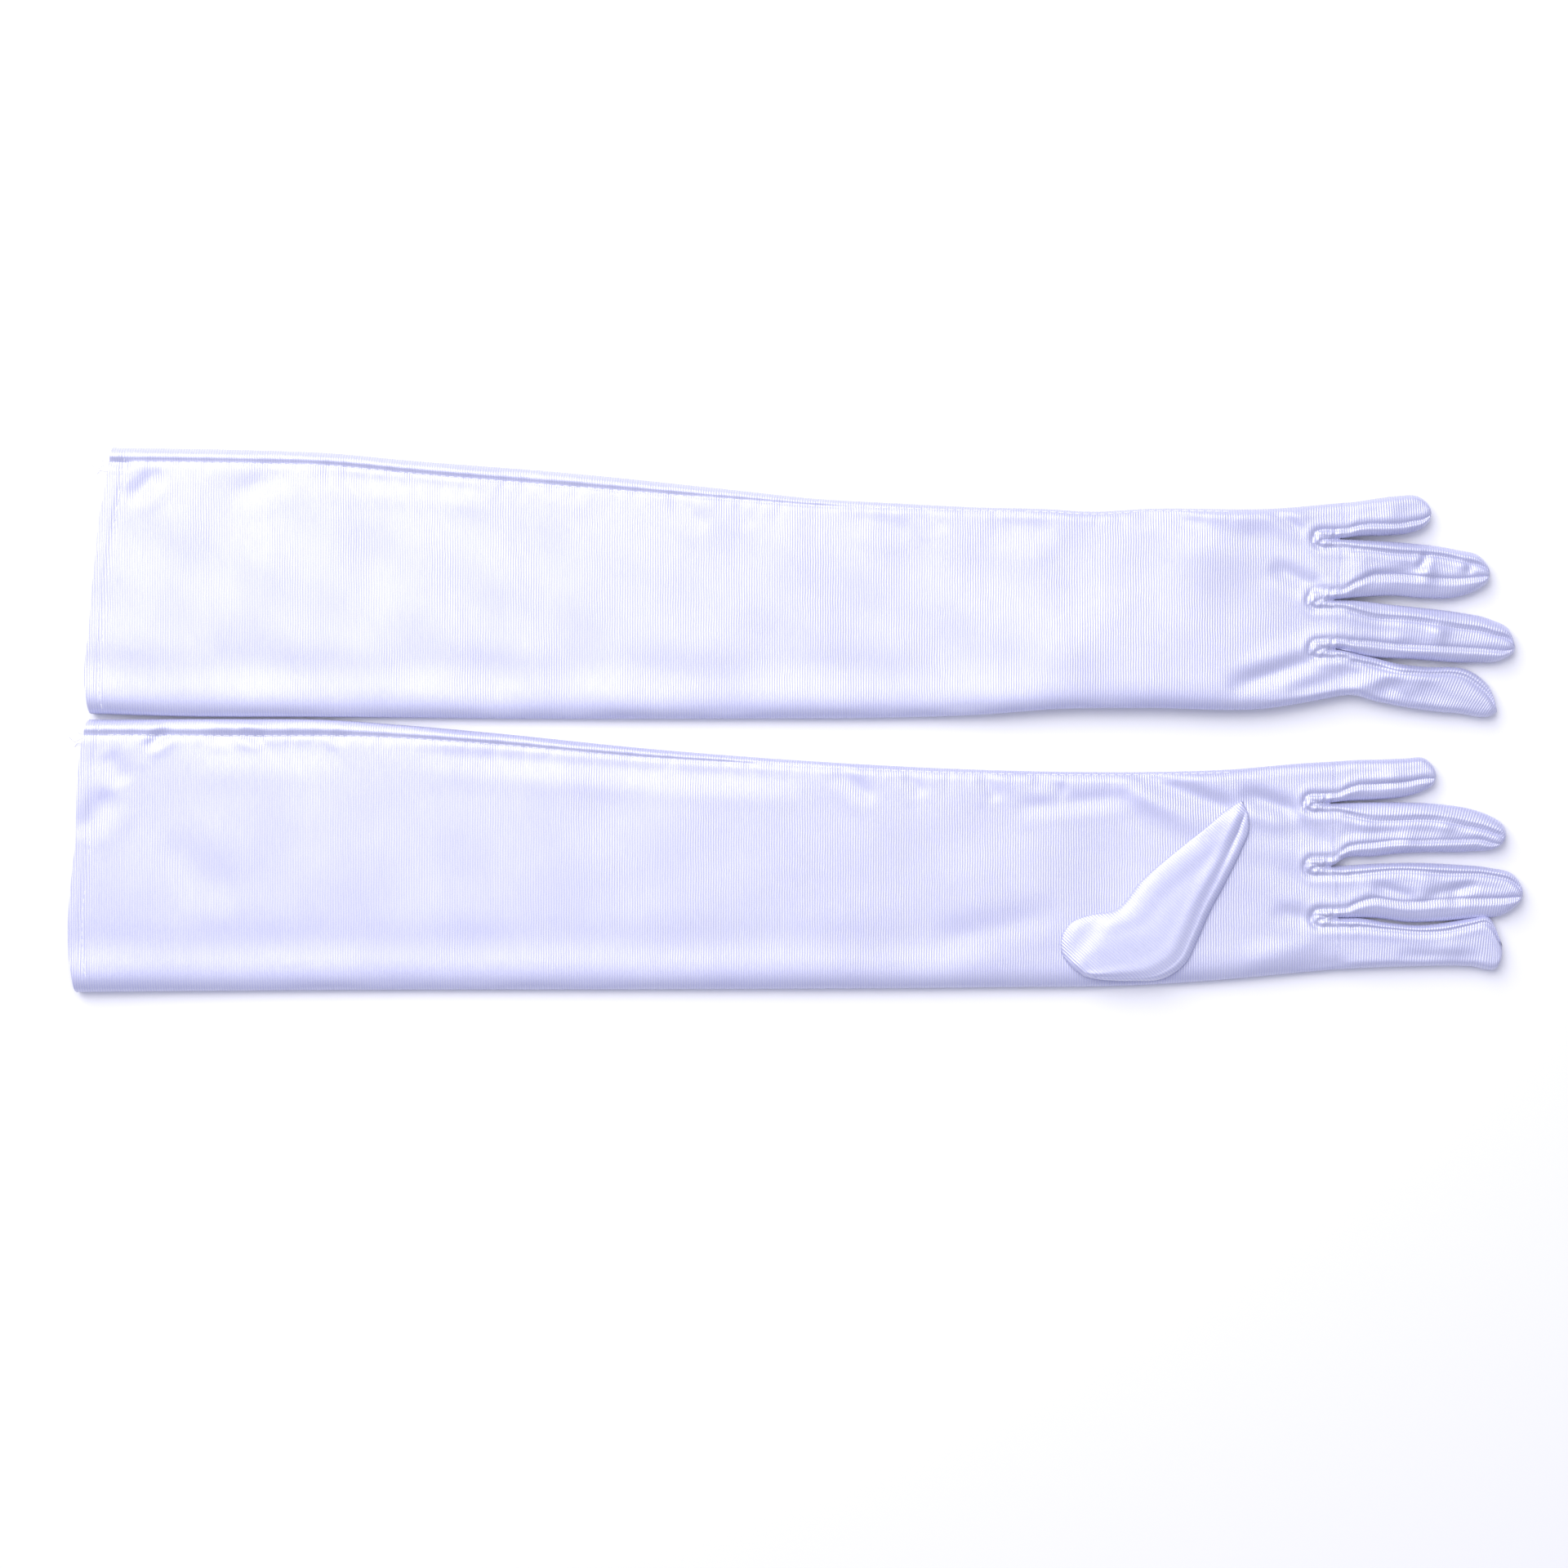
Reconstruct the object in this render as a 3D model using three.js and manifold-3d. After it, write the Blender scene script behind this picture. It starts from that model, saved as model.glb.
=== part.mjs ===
// A pair of opera gloves in stretch satin, lying flat side by side as they are packed.
// The left glove lies back up with its thumb tucked under the palm. The right glove lies palm up
// with its thumb folded across the palm.
//
// Each glove is a flattened, hollow tube of cloth: one panel folded along the index-finger side and
// sewn along the little-finger side, four finger stalls, a set-in thumb, strips of cloth (fourchettes)
// between the fingers, and a hem turned into the cuff. It is divided where the worn glove bends:
// elbow, wrist, finger roots and thumb.
//
// Units are millimetres. +X runs from the cuff to the fingertips, +Y from the folded side to the
// seam side, and +Z up from the table. The origin is the middle of the pair, on the table.

import * as THREE from "three";
import { mergeVertices } from "three/addons/utils/BufferGeometryUtils.js";
import Module from "manifold-3d";

const wasm = await Module();
wasm.setup();

// ---------------------------------------------------------------- driving dimensions

const CLOTH = 0.6; // thickness of the satin, with the air that its pile of loops holds
const GAP = 0.3; // between pieces that are sewn or lie against each other
const JOINT_GAP = 0.6; // between pieces that fold against each other

const SLEEVE_HEIGHT = 7; // two layers of cloth held apart by the stiffness of their folds
const CUFF_HEIGHT = 8.4; // the mouth gapes a little
const HAND_HEIGHT = 6.8;
const FINGER_HEIGHT = 6.6;
const NOSE_HEIGHT = 3; // of a finger's or thumb's closed end

const HEM_DEPTH = 6; // of the edge that is turned into the cuff
const STITCH = 0.5; // thickness of the sewing thread's line
const SEAM_ALLOWANCE = 3; // how far the side seam's raw edges stand inwards
const FOURCHETTE = 4; // width of the strips between the fingers
const THREAD = 0.6; // thickness of a loose thread end
const THREAD_LENGTH = 9;

const ROOT_SPACE = 0.8; // between neighbouring fingers at their roots
const WEB = 7; // how far the palm reaches past its own outline to the finger roots

const PAIR_GAP = 1; // between the two gloves where they come nearest
const PAIR_STAGGER = 5.9; // how much further back the right glove's cuff lies

// A thumb is measured from the middle of its base, along a line that it bows away from.
const THUMB = {
  height: 6,
  heel: 11, // behind the middle of its base
  length: 72,
  bow: 4.2,
  base: { at: 0, half: 18.4 },
  shoulder: { at: 15, half: 16.6 },
  middle: { at: 31, half: 14 },
  neck: { at: 60, half: 7.6 },
  tipHalf: 2.2,
};
const THUMB_HOLE = { long: 26, wide: 16 }; // where the thumb's inside meets the hand's

// Each glove as it lies. Edges are measured across the glove: "fold" is the index-finger side and
// "seam" the little-finger side. The bicep is measured from the cuff, the forearm's widths from the
// elbow, and the palm, the thumb and the finger roots from the wrist. Turns are in degrees. A finger's
// swell and taper are what its middle and its shoulder gain on its root's width, its nose is the
// length of its round end, and its drift is how far the tip leaves the finger's middle line.
const LEFT = {
  side: "left",
  upperArm: 129,
  forearm: 237,
  cuffSlant: 9.6,
  cuff: { fold: 0, seam: 100.9 },
  bicep: { at: 90, fold: -0.3, seam: 98.7 },
  elbow: { fold: -0.6, seam: 95.9 },
  upperForearm: { at: 85, fold: -1.5, seam: 88.5 },
  lowerForearm: { at: 147, fold: -1.2, seam: 82 },
  wrist: { fold: 2.2, seam: 77.8 },
  palm: { at: 72, fold: 3.6, seam: 77.9 },
  rootFold: 5.9,
  fingers: {
    index: {
      root: 106, turn: -7.4, length: 63.3, width: 17.6, swell: -0.6, taper: -3.4,
      nose: 15, tip: 3, drift: -5,
    },
    middle: {
      root: 103.6, turn: -5.6, length: 73, width: 19.2, swell: -0.4, taper: -3.6,
      nose: 13, tip: 4, drift: -4,
    },
    ring: {
      root: 100.5, turn: -2.8, length: 66, width: 21.2, swell: -1.2, taper: -4.4,
      nose: 10, tip: 7, drift: -1,
    },
    little: {
      root: 98, turn: 4.6, length: 44.8, width: 12.4, swell: 1.2, taper: 0.8,
      nose: 5, tip: 8, drift: 0,
    },
  },
  thumb: { over: false, at: [29, 18.6], turn: 43 },
  rootsLower: 1.3, // than the wrist, which lies on the tucked thumb
  tipsAbove: 0.2, // the table
};
const RIGHT = {
  side: "right",
  upperArm: 135.6,
  forearm: 237,
  cuffSlant: 7,
  cuff: { fold: 0, seam: 102.4 },
  bicep: { at: 65, fold: 0, seam: 103.5 },
  elbow: { fold: 0.5, seam: 100.6 },
  upperForearm: { at: 84.4, fold: 0.6, seam: 92.2 },
  lowerForearm: { at: 146.4, fold: 1.2, seam: 86.6 },
  wrist: { fold: 1.7, seam: 83.3 },
  palm: { at: 49.4, fold: 3.4, seam: 83.2 },
  rootFold: 7.2,
  fingers: {
    index: {
      root: 102.9, turn: 0.2, length: 65.2, width: 20.6, swell: -3.8, taper: -2,
      nose: 4, tip: 13, drift: 0,
    },
    middle: {
      root: 102.4, turn: -0.6, length: 75.1, width: 21, swell: 0.2, taper: -4.6,
      nose: 12, tip: 7, drift: 0,
    },
    ring: {
      root: 100.7, turn: -0.5, length: 70.5, width: 18.6, swell: 0, taper: -4,
      nose: 14, tip: 6, drift: 0,
    },
    little: {
      root: 97.9, turn: 6, length: 46.2, width: 15.8, swell: -1, taper: -3.2,
      nose: 4, tip: 9, drift: 1,
    },
  },
  thumb: { over: true, at: [22.4, 18], turn: 47.5 },
  rootsLower: 0,
  tipsAbove: 0,
};
const FINGER_ORDER = ["index", "middle", "ring", "little"]; // from the folded side to the seam side

const ARC_STEPS = 4; // facets of a tube's rounded side
const NOSE_STEPS = 3;

// ---------------------------------------------------------------- materials

const satin = (color) => new THREE.MeshStandardMaterial({ color, roughness: 0.35, metalness: 0 });
const PANEL = satin(0xe4e8fb);
const STRIP = satin(0xd9dcf8);
const THREADS = new THREE.MeshStandardMaterial({ color: 0xf2f3fd, roughness: 0.6, metalness: 0 });

// ---------------------------------------------------------------- solids

const rad = THREE.MathUtils.degToRad;

// A loop of points round a flattened tube: a slot shape across the direction that the tube runs in.
// shear leans the loop along the tube by that much from its low edge to its high edge.
function slotRing({ x, y, turn = 0, width, low, high, shear = 0 }, inset = 0) {
  const radius = (high - low) / 2 - inset;
  const half = width / 2 - inset;
  const ring = [];
  for (const [edge, from] of [[1, -90], [-1, 90]]) {
    for (let i = 0; i <= ARC_STEPS; i++) {
      const angle = rad(from + (180 * i) / ARC_STEPS);
      const across = edge * (half - radius) + radius * Math.cos(angle);
      const along = shear * (across / width + 0.5);
      ring.push(new THREE.Vector3(
        x + along * Math.cos(turn) - across * Math.sin(turn),
        y + along * Math.sin(turn) + across * Math.cos(turn),
        (low + high) / 2 + radius * Math.sin(angle),
      ));
    }
  }
  return ring;
}

// A loop of four points: a rectangle between two distances across the tube and two heights.
function boxRing({ x, y, turn = 0 }, from, to, low, high) {
  return [[to, low], [to, high], [from, high], [from, low]].map(([across, z]) =>
    new THREE.Vector3(x - across * Math.sin(turn), y + across * Math.cos(turn), z));
}

// The closed solid through a row of loops with the same number of points.
function loft(rings) {
  const count = rings[0].length;
  const last = (rings.length - 1) * count;
  const index = [];
  for (let r = 0; r < rings.length - 1; r++) {
    for (let i = 0; i < count; i++) {
      const [a, b] = [r * count + i, r * count + ((i + 1) % count)];
      index.push(a, b, a + count, b, b + count, a + count);
    }
  }
  for (let i = 1; i < count - 1; i++) {
    index.push(0, i + 1, i);
    index.push(last, last + i, last + i + 1);
  }
  return solidOf(new THREE.BufferGeometry().setFromPoints(rings.flat()).setIndex(index));
}

function solidOf(geometry) {
  const bare = geometry.clone();
  bare.deleteAttribute("normal");
  bare.deleteAttribute("uv");
  const merged = mergeVertices(bare, 1e-4);
  return new wasm.Manifold(new wasm.Mesh({
    numProp: 3,
    vertProperties: merged.attributes.position.array,
    triVerts: new Uint32Array(merged.index.array),
  }));
}

function meshOf(solid, name, material) {
  const { vertProperties, triVerts, numProp, numVert } = solid.getMesh();
  const position = new Float32Array(numVert * 3);
  for (let i = 0; i < numVert; i++) {
    position.set(vertProperties.subarray(i * numProp, i * numProp + 3), i * 3);
  }
  const geometry = new THREE.BufferGeometry()
    .setAttribute("position", new THREE.BufferAttribute(position, 3))
    .setIndex(new THREE.BufferAttribute(new Uint32Array(triVerts), 1));
  geometry.computeVertexNormals();
  const mesh = new THREE.Mesh(geometry, material);
  mesh.name = name;
  return mesh;
}

const union = (solids) => solids.reduce((whole, solid) => whole.add(solid));
const moved = (station, distance) => ({
  ...station,
  x: station.x + distance * Math.cos(station.turn ?? 0),
  y: station.y + distance * Math.sin(station.turn ?? 0),
});

// ---------------------------------------------------------------- the sleeve and the palm

// A station of the sleeve or palm from its two edges.
const edgeStation = (x, { fold, seam }, low, high, shear = 0) =>
  ({ x, y: (fold + seam) / 2, width: seam - fold, low, high, shear });

// A station part of the way from one to the next.
function between(a, b, share) {
  const mixed = {};
  for (const key of Object.keys(a)) mixed[key] = THREE.MathUtils.lerp(a[key], b[key], share);
  return mixed;
}

// How far off the table the hand lies at its wrist and at its finger roots.
function liftOf({ thumb, rootsLower }) {
  const wrist = thumb.over ? 0 : THUMB.height + GAP;
  return { wrist, roots: wrist - rootsLower };
}

// Where the sleeve's parts and the palm begin and end, and their stations.
function layOut(glove) {
  const elbow = glove.upperArm;
  const wrist = elbow + glove.forearm;
  const roots = fingerRoots(glove, wrist);
  const lift = liftOf(glove);
  const palmEnd = Math.min(...roots.map((root) => root.x)) - WEB;
  const rootEdges = { fold: glove.rootFold, seam: glove.rootFold + rootWidth(glove) };
  const sleeve = [0, SLEEVE_HEIGHT];
  const hand = (low) => [low, low + HAND_HEIGHT];
  const stations = {
    cuff: edgeStation(0, glove.cuff, 0, CUFF_HEIGHT, glove.cuffSlant),
    bicep: edgeStation(glove.bicep.at, glove.bicep, ...sleeve),
    elbow: edgeStation(elbow, glove.elbow, ...sleeve),
    upperForearm: edgeStation(elbow + glove.upperForearm.at, glove.upperForearm, ...sleeve),
    lowerForearm: edgeStation(elbow + glove.lowerForearm.at, glove.lowerForearm, ...sleeve),
    wrist: edgeStation(wrist, glove.wrist, ...hand(lift.wrist)),
    palm: edgeStation(wrist + glove.palm.at, glove.palm, ...hand(lift.wrist)),
    palmEnd: edgeStation(palmEnd, rootEdges, ...hand(lift.roots)),
  };
  return { wrist, roots, stations };
}

// A hollow tube of cloth, open at both ends, with its ends drawn in by a given distance.
function openTube(stations, startGap, endGap) {
  const outer = stations.slice();
  const [first, last] = [0, stations.length - 1];
  outer[first] = drawnIn(stations[first], stations[first + 1], startGap);
  outer[last] = drawnIn(stations[last], stations[last - 1], endGap);
  const inner = outer.slice();
  inner[first] = moved(outer[first], -2 * CLOTH);
  inner[last] = moved(outer[last], 2 * CLOTH);
  return loft(outer.map((s) => slotRing(s))).subtract(loft(inner.map((s) => slotRing(s, CLOTH))));
}

const drawnIn = (end, next, gap) => (gap ? between(end, next, gap / Math.abs(next.x - end.x)) : end);

function sleeveTubes({ stations: s }) {
  return {
    upper_sleeve: openTube([s.cuff, s.bicep, s.elbow], 0, JOINT_GAP / 2),
    forearm: openTube([s.elbow, s.upperForearm, s.lowerForearm, s.wrist], JOINT_GAP / 2, JOINT_GAP / 2),
  };
}

// The palm runs on into four short stubs that meet the fingers.
function handShell(glove, { stations: s, roots }) {
  const start = drawnIn(s.wrist, s.palm, JOINT_GAP / 2);
  const innerEnd = moved(s.palmEnd, -CLOTH);
  const stubs = (to, inset) => roots.map((root) => {
    const from = s.palmEnd.x - root.x - 2 * CLOTH;
    return loft([moved(root, from), moved(root, to)].map((r) => slotRing(r, inset)));
  });
  const palm = loft([start, s.palm, s.palmEnd].map((r) => slotRing(r)));
  const innerPalm = loft([moved(start, -2 * CLOTH), s.palm, innerEnd].map((r) => slotRing(r, CLOTH)));
  return union([palm, ...stubs(-JOINT_GAP / 2, 0)]).subtract(union([innerPalm, ...stubs(CLOTH, CLOTH)]));
}

// A strip inside a tube along its seam side: the raw edges of the side seam.
function sideSeam(stations, startGap, endGap) {
  const inside = stations.slice();
  inside[0] = drawnIn(stations[0], stations[1], startGap);
  inside[inside.length - 1] = drawnIn(stations.at(-1), stations.at(-2), endGap);
  return loft(inside.map((s) => {
    const edge = s.width / 2 - CLOTH - 2 * GAP;
    const middle = (s.low + s.high) / 2;
    return boxRing(moved(s, s.shear), edge - SEAM_ALLOWANCE, edge, middle - CLOTH, middle + CLOTH);
  }));
}

// The hem: the cuff's edge turned inside, and the line of stitches that holds it.
function cuffRing({ stations: s }, from, to, thickness) {
  const at = (distance) => between(s.cuff, s.bicep, distance / s.bicep.x);
  const [start, end] = [at(from), at(to)];
  const outer = loft([start, end].map((r) => slotRing(r, CLOTH + GAP)));
  const inner = loft([moved(start, -thickness), moved(end, thickness)].map((r) =>
    slotRing(r, CLOTH + GAP + thickness)));
  return outer.subtract(inner);
}

// ---------------------------------------------------------------- fingers

const rootWidth = (glove) =>
  FINGER_ORDER.reduce((sum, name) => sum + glove.fingers[name].width, (FINGER_ORDER.length - 1) * ROOT_SPACE);

// The section where each finger meets the palm, side by side from the folded side.
function fingerRoots(glove, wrist) {
  const low = liftOf(glove).roots;
  let edge = glove.rootFold;
  return FINGER_ORDER.map((name) => {
    const { root, width, turn } = glove.fingers[name];
    const y = edge + width / 2;
    edge += width + ROOT_SPACE;
    return { x: wrist + root, y, turn: rad(turn), width, low, high: low + FINGER_HEIGHT };
  });
}

// A finger's stations from its root to its closed end.
function fingerStations(glove, name, root) {
  const f = glove.fingers[name];
  const section = (distance, width, height, shift) => {
    const lift = THREE.MathUtils.lerp(root.low, glove.tipsAbove, distance / f.length);
    const middle = lift + FINGER_HEIGHT / 2;
    const at = moved(root, distance);
    return { ...at, x: at.x - shift * Math.sin(root.turn), y: at.y + shift * Math.cos(root.turn),
      width, low: middle - height / 2, high: middle + height / 2 };
  };
  const shoulder = f.length - f.nose;
  const stations = [
    section(JOINT_GAP / 2, f.width, FINGER_HEIGHT, 0),
    section(shoulder / 2, f.width + f.swell, FINGER_HEIGHT, 0),
    section(shoulder, f.width + f.taper, FINGER_HEIGHT, 0),
  ];
  for (let i = 1; i <= NOSE_STEPS; i++) {
    const angle = rad((90 * i) / NOSE_STEPS);
    const [out, shrink] = [Math.sin(angle), 1 - Math.cos(angle)];
    stations.push(section(
      shoulder + f.nose * out,
      THREE.MathUtils.lerp(f.width + f.taper, f.tip, shrink),
      THREE.MathUtils.lerp(FINGER_HEIGHT, NOSE_HEIGHT, shrink),
      f.drift * shrink,
    ));
  }
  return stations;
}

// A stall: a hollow tube of cloth, open at the root and closed at the end.
function stall(stations) {
  const inner = stations.slice(0, -1);
  inner[0] = moved(stations[0], -2 * CLOTH);
  inner[inner.length - 1] = moved(inner.at(-1), -CLOTH);
  return loft(stations.map((s) => slotRing(s))).subtract(loft(inner.map((s) => slotRing(s, CLOTH))));
}

// The space along one side of a finger that its fourchette takes, grown by a gap.
function fourchetteSpace(stations, side, gap) {
  const straight = [moved(stations[0], -2 * CLOTH), stations[1], moved(stations[2], gap)];
  return loft(straight.map((s) => {
    const edge = s.width / 2;
    const middle = (s.low + s.high) / 2;
    const half = FOURCHETTE / 2 + gap;
    const [near, far] = [edge - 3 * CLOTH - gap, edge + CLOTH];
    return side > 0
      ? boxRing(s, near, far, middle - half, middle + half)
      : boxRing(s, -far, -near, middle - half, middle + half);
  }));
}

// A finger's stall, and its fourchettes on the sides where it has a neighbour.
function fingerPieces(glove, name, root) {
  const stations = fingerStations(glove, name, root);
  const whole = stall(stations);
  const place = FINGER_ORDER.indexOf(name);
  const sides = [[-1, place > 0, "fold"], [1, place < FINGER_ORDER.length - 1, "seam"]];
  const pieces = {};
  let panel = whole;
  for (const [side, present, label] of sides) {
    if (!present) continue;
    pieces[`${name}_fourchette_${label}_side`] = whole.intersect(fourchetteSpace(stations, side, 0));
    panel = panel.subtract(fourchetteSpace(stations, side, GAP));
  }
  return { [`${name}_finger`]: panel, ...pieces };
}

// ---------------------------------------------------------------- thumb

// A leaf-shaped stall that lies over or under the palm.
function thumbStations({ thumb }, wrist, low) {
  const turn = rad(thumb.turn);
  const section = (distance, half, height, bowShare) => {
    const at = moved({ x: wrist + thumb.at[0], y: thumb.at[1], turn }, distance);
    const bow = THUMB.bow * bowShare;
    return { ...at, x: at.x + bow * Math.sin(turn), y: at.y - bow * Math.cos(turn), width: 2 * half,
      low, high: low + height };
  };
  const heel = [80, 50, 25].map((degrees) => {
    const angle = rad(degrees);
    const half = THUMB.base.half * Math.cos(angle);
    return section(-THUMB.heel * Math.sin(angle), half, Math.min(THUMB.height, half), 0);
  });
  const neckHeight = THREE.MathUtils.lerp(THUMB.height, NOSE_HEIGHT, 0.4);
  return [
    ...heel,
    section(THUMB.base.at, THUMB.base.half, THUMB.height, 0),
    section(THUMB.shoulder.at, THUMB.shoulder.half, THUMB.height, 1),
    section(THUMB.middle.at, THUMB.middle.half, THUMB.height, 1),
    section(THUMB.neck.at, THUMB.neck.half, neckHeight, 0.7),
    section(THUMB.length, THUMB.tipHalf, NOSE_HEIGHT, 0),
  ];
}

function thumbShell(stations) {
  const inner = stations.slice(1, -1);
  inner[0] = moved(inner[0], CLOTH);
  return loft(stations.map((s) => slotRing(s))).subtract(loft(inner.map((s) => slotRing(s, CLOTH))));
}

// An upright oval plug through the cloth between the thumb's inside and the hand's.
function thumbHole({ thumb }, wrist, from, to) {
  const oval = new THREE.Shape().absellipse(0, 0, THUMB_HOLE.long / 2, THUMB_HOLE.wide / 2, 0, 2 * Math.PI);
  const plug = new THREE.ExtrudeGeometry(oval, { depth: to - from, bevelEnabled: false, curveSegments: 6 });
  return solidOf(plug.translate(wrist + thumb.at[0], thumb.at[1], from));
}

// ---------------------------------------------------------------- a whole glove

// A loose thread end that lies flat in front of the cuff, at its seam corner.
function threadEnd({ stations: s }) {
  const x = s.cuff.x + s.cuff.shear - GAP;
  const y = s.cuff.y + s.cuff.width / 2 - SLEEVE_HEIGHT;
  const z = CUFF_HEIGHT / 2;
  const path = new THREE.CatmullRomCurve3([
    new THREE.Vector3(x - THREAD_LENGTH, y + THREAD, z),
    new THREE.Vector3(x - THREAD_LENGTH / 2, y - THREAD, z),
    new THREE.Vector3(x, y + THREAD, z),
  ]);
  const section = new THREE.Shape().absellipse(0, 0, THREAD / 2, THREAD / 2, 0, 2 * Math.PI);
  return solidOf(new THREE.ExtrudeGeometry(section, { steps: 6, extrudePath: path, curveSegments: 2 }));
}

function gloveMeshes(glove) {
  const plan = layOut(glove);
  const { stations: s } = plan;
  const thumbLow = glove.thumb.over ? s.palm.high + GAP : 0;
  const thumbTop = thumbLow + THUMB.height;
  const hole = glove.thumb.over
    ? thumbHole(glove, plan.wrist, s.palm.high - 2 * CLOTH, thumbLow + 2 * CLOTH)
    : thumbHole(glove, plan.wrist, thumbTop - 2 * CLOTH, s.palm.low + 2 * CLOTH);
  const cloth = {
    ...sleeveTubes(plan),
    hand: handShell(glove, plan).subtract(hole),
    thumb: thumbShell(thumbStations(glove, plan.wrist, thumbLow)).subtract(hole),
  };
  const strips = {};
  FINGER_ORDER.forEach((name, i) => {
    const { [`${name}_finger`]: panel, ...fourchettes } = fingerPieces(glove, name, plan.roots[i]);
    cloth[`${name}_finger`] = panel;
    Object.assign(strips, fourchettes);
  });
  cloth.hem_facing = cuffRing(plan, GAP, HEM_DEPTH, CLOTH);
  const threads = {
    hem_stitching: cuffRing(plan, HEM_DEPTH + GAP, HEM_DEPTH + GAP + STITCH, STITCH),
    upper_side_seam: sideSeam([s.cuff, s.bicep, s.elbow], HEM_DEPTH + 2 * GAP + 2 * STITCH, JOINT_GAP),
    forearm_side_seam: sideSeam([s.elbow, s.upperForearm, s.lowerForearm, s.wrist], JOINT_GAP, JOINT_GAP),
    hand_side_seam: sideSeam([s.wrist, s.palm, s.palmEnd], JOINT_GAP, 4 * CLOTH),
    thread_end: threadEnd(plan),
  };
  const named = (solids, material) => Object.entries(solids).map(([name, solid]) =>
    meshOf(solid, `${glove.side}_${name}`, material));
  return [...named(cloth, PANEL), ...named(strips, STRIP), ...named(threads, THREADS)];
}

// ---------------------------------------------------------------- the pair

const widest = (glove, edge) => [glove.cuff, glove.bicep, glove.elbow].map((station) => station[edge]);

const pair = new THREE.Group();
const left = new THREE.Group().add(...gloveMeshes(LEFT));
const right = new THREE.Group().add(...gloveMeshes(RIGHT));
right.position.x = -PAIR_STAGGER;
right.position.y = Math.min(...widest(LEFT, "fold")) - PAIR_GAP - Math.max(...widest(RIGHT, "seam"));
pair.add(left, right);
pair.updateMatrixWorld(true);
const box = new THREE.Box3().setFromObject(pair, true);
const centre = box.getCenter(new THREE.Vector3());
for (const glove of [left, right]) glove.position.sub(new THREE.Vector3(centre.x, centre.y, box.min.z));

export default pair;
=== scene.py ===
"""A pair of satin opera gloves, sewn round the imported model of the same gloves.

Each glove is one surface of cloth: rings of points run round the sleeve and the palm, and go on round
each finger. The surface is then cut where the worn glove bends and at its seams, and every piece gets
the thickness of the cloth. Lengths in the functions are millimetres: "along" is measured from the
cuff towards the fingertips and "across" from the folded side to the seam side.
"""
import math
from functools import lru_cache

import bpy
import numpy as np
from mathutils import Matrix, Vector


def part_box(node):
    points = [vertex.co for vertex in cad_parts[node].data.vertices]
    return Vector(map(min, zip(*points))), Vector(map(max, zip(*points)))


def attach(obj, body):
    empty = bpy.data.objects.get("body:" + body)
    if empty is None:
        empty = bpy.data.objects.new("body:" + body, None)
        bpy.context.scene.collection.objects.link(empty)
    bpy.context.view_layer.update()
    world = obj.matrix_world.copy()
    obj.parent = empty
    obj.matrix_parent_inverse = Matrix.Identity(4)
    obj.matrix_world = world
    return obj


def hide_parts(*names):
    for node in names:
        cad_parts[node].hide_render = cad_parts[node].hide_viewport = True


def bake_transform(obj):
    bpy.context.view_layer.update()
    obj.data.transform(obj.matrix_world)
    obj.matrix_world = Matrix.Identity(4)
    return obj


bl_info = {
    "name": "Opera Gloves",
    "version": (1, 0, 0),
    "blender": (4, 5, 0),
    "location": "View3D > Sidebar > Gloves",
    "description": "Sews a pair of long satin gloves that lie flat side by side",
    "category": "Add Mesh",
}

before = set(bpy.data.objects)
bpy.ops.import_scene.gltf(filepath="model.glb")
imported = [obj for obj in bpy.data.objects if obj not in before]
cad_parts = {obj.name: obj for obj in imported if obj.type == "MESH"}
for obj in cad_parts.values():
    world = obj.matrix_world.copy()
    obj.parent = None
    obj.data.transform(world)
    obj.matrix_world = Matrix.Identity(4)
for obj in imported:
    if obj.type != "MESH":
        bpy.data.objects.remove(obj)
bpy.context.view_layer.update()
MM = 0.001

# ------------------------------------------------------------------ how each glove lies

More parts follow.
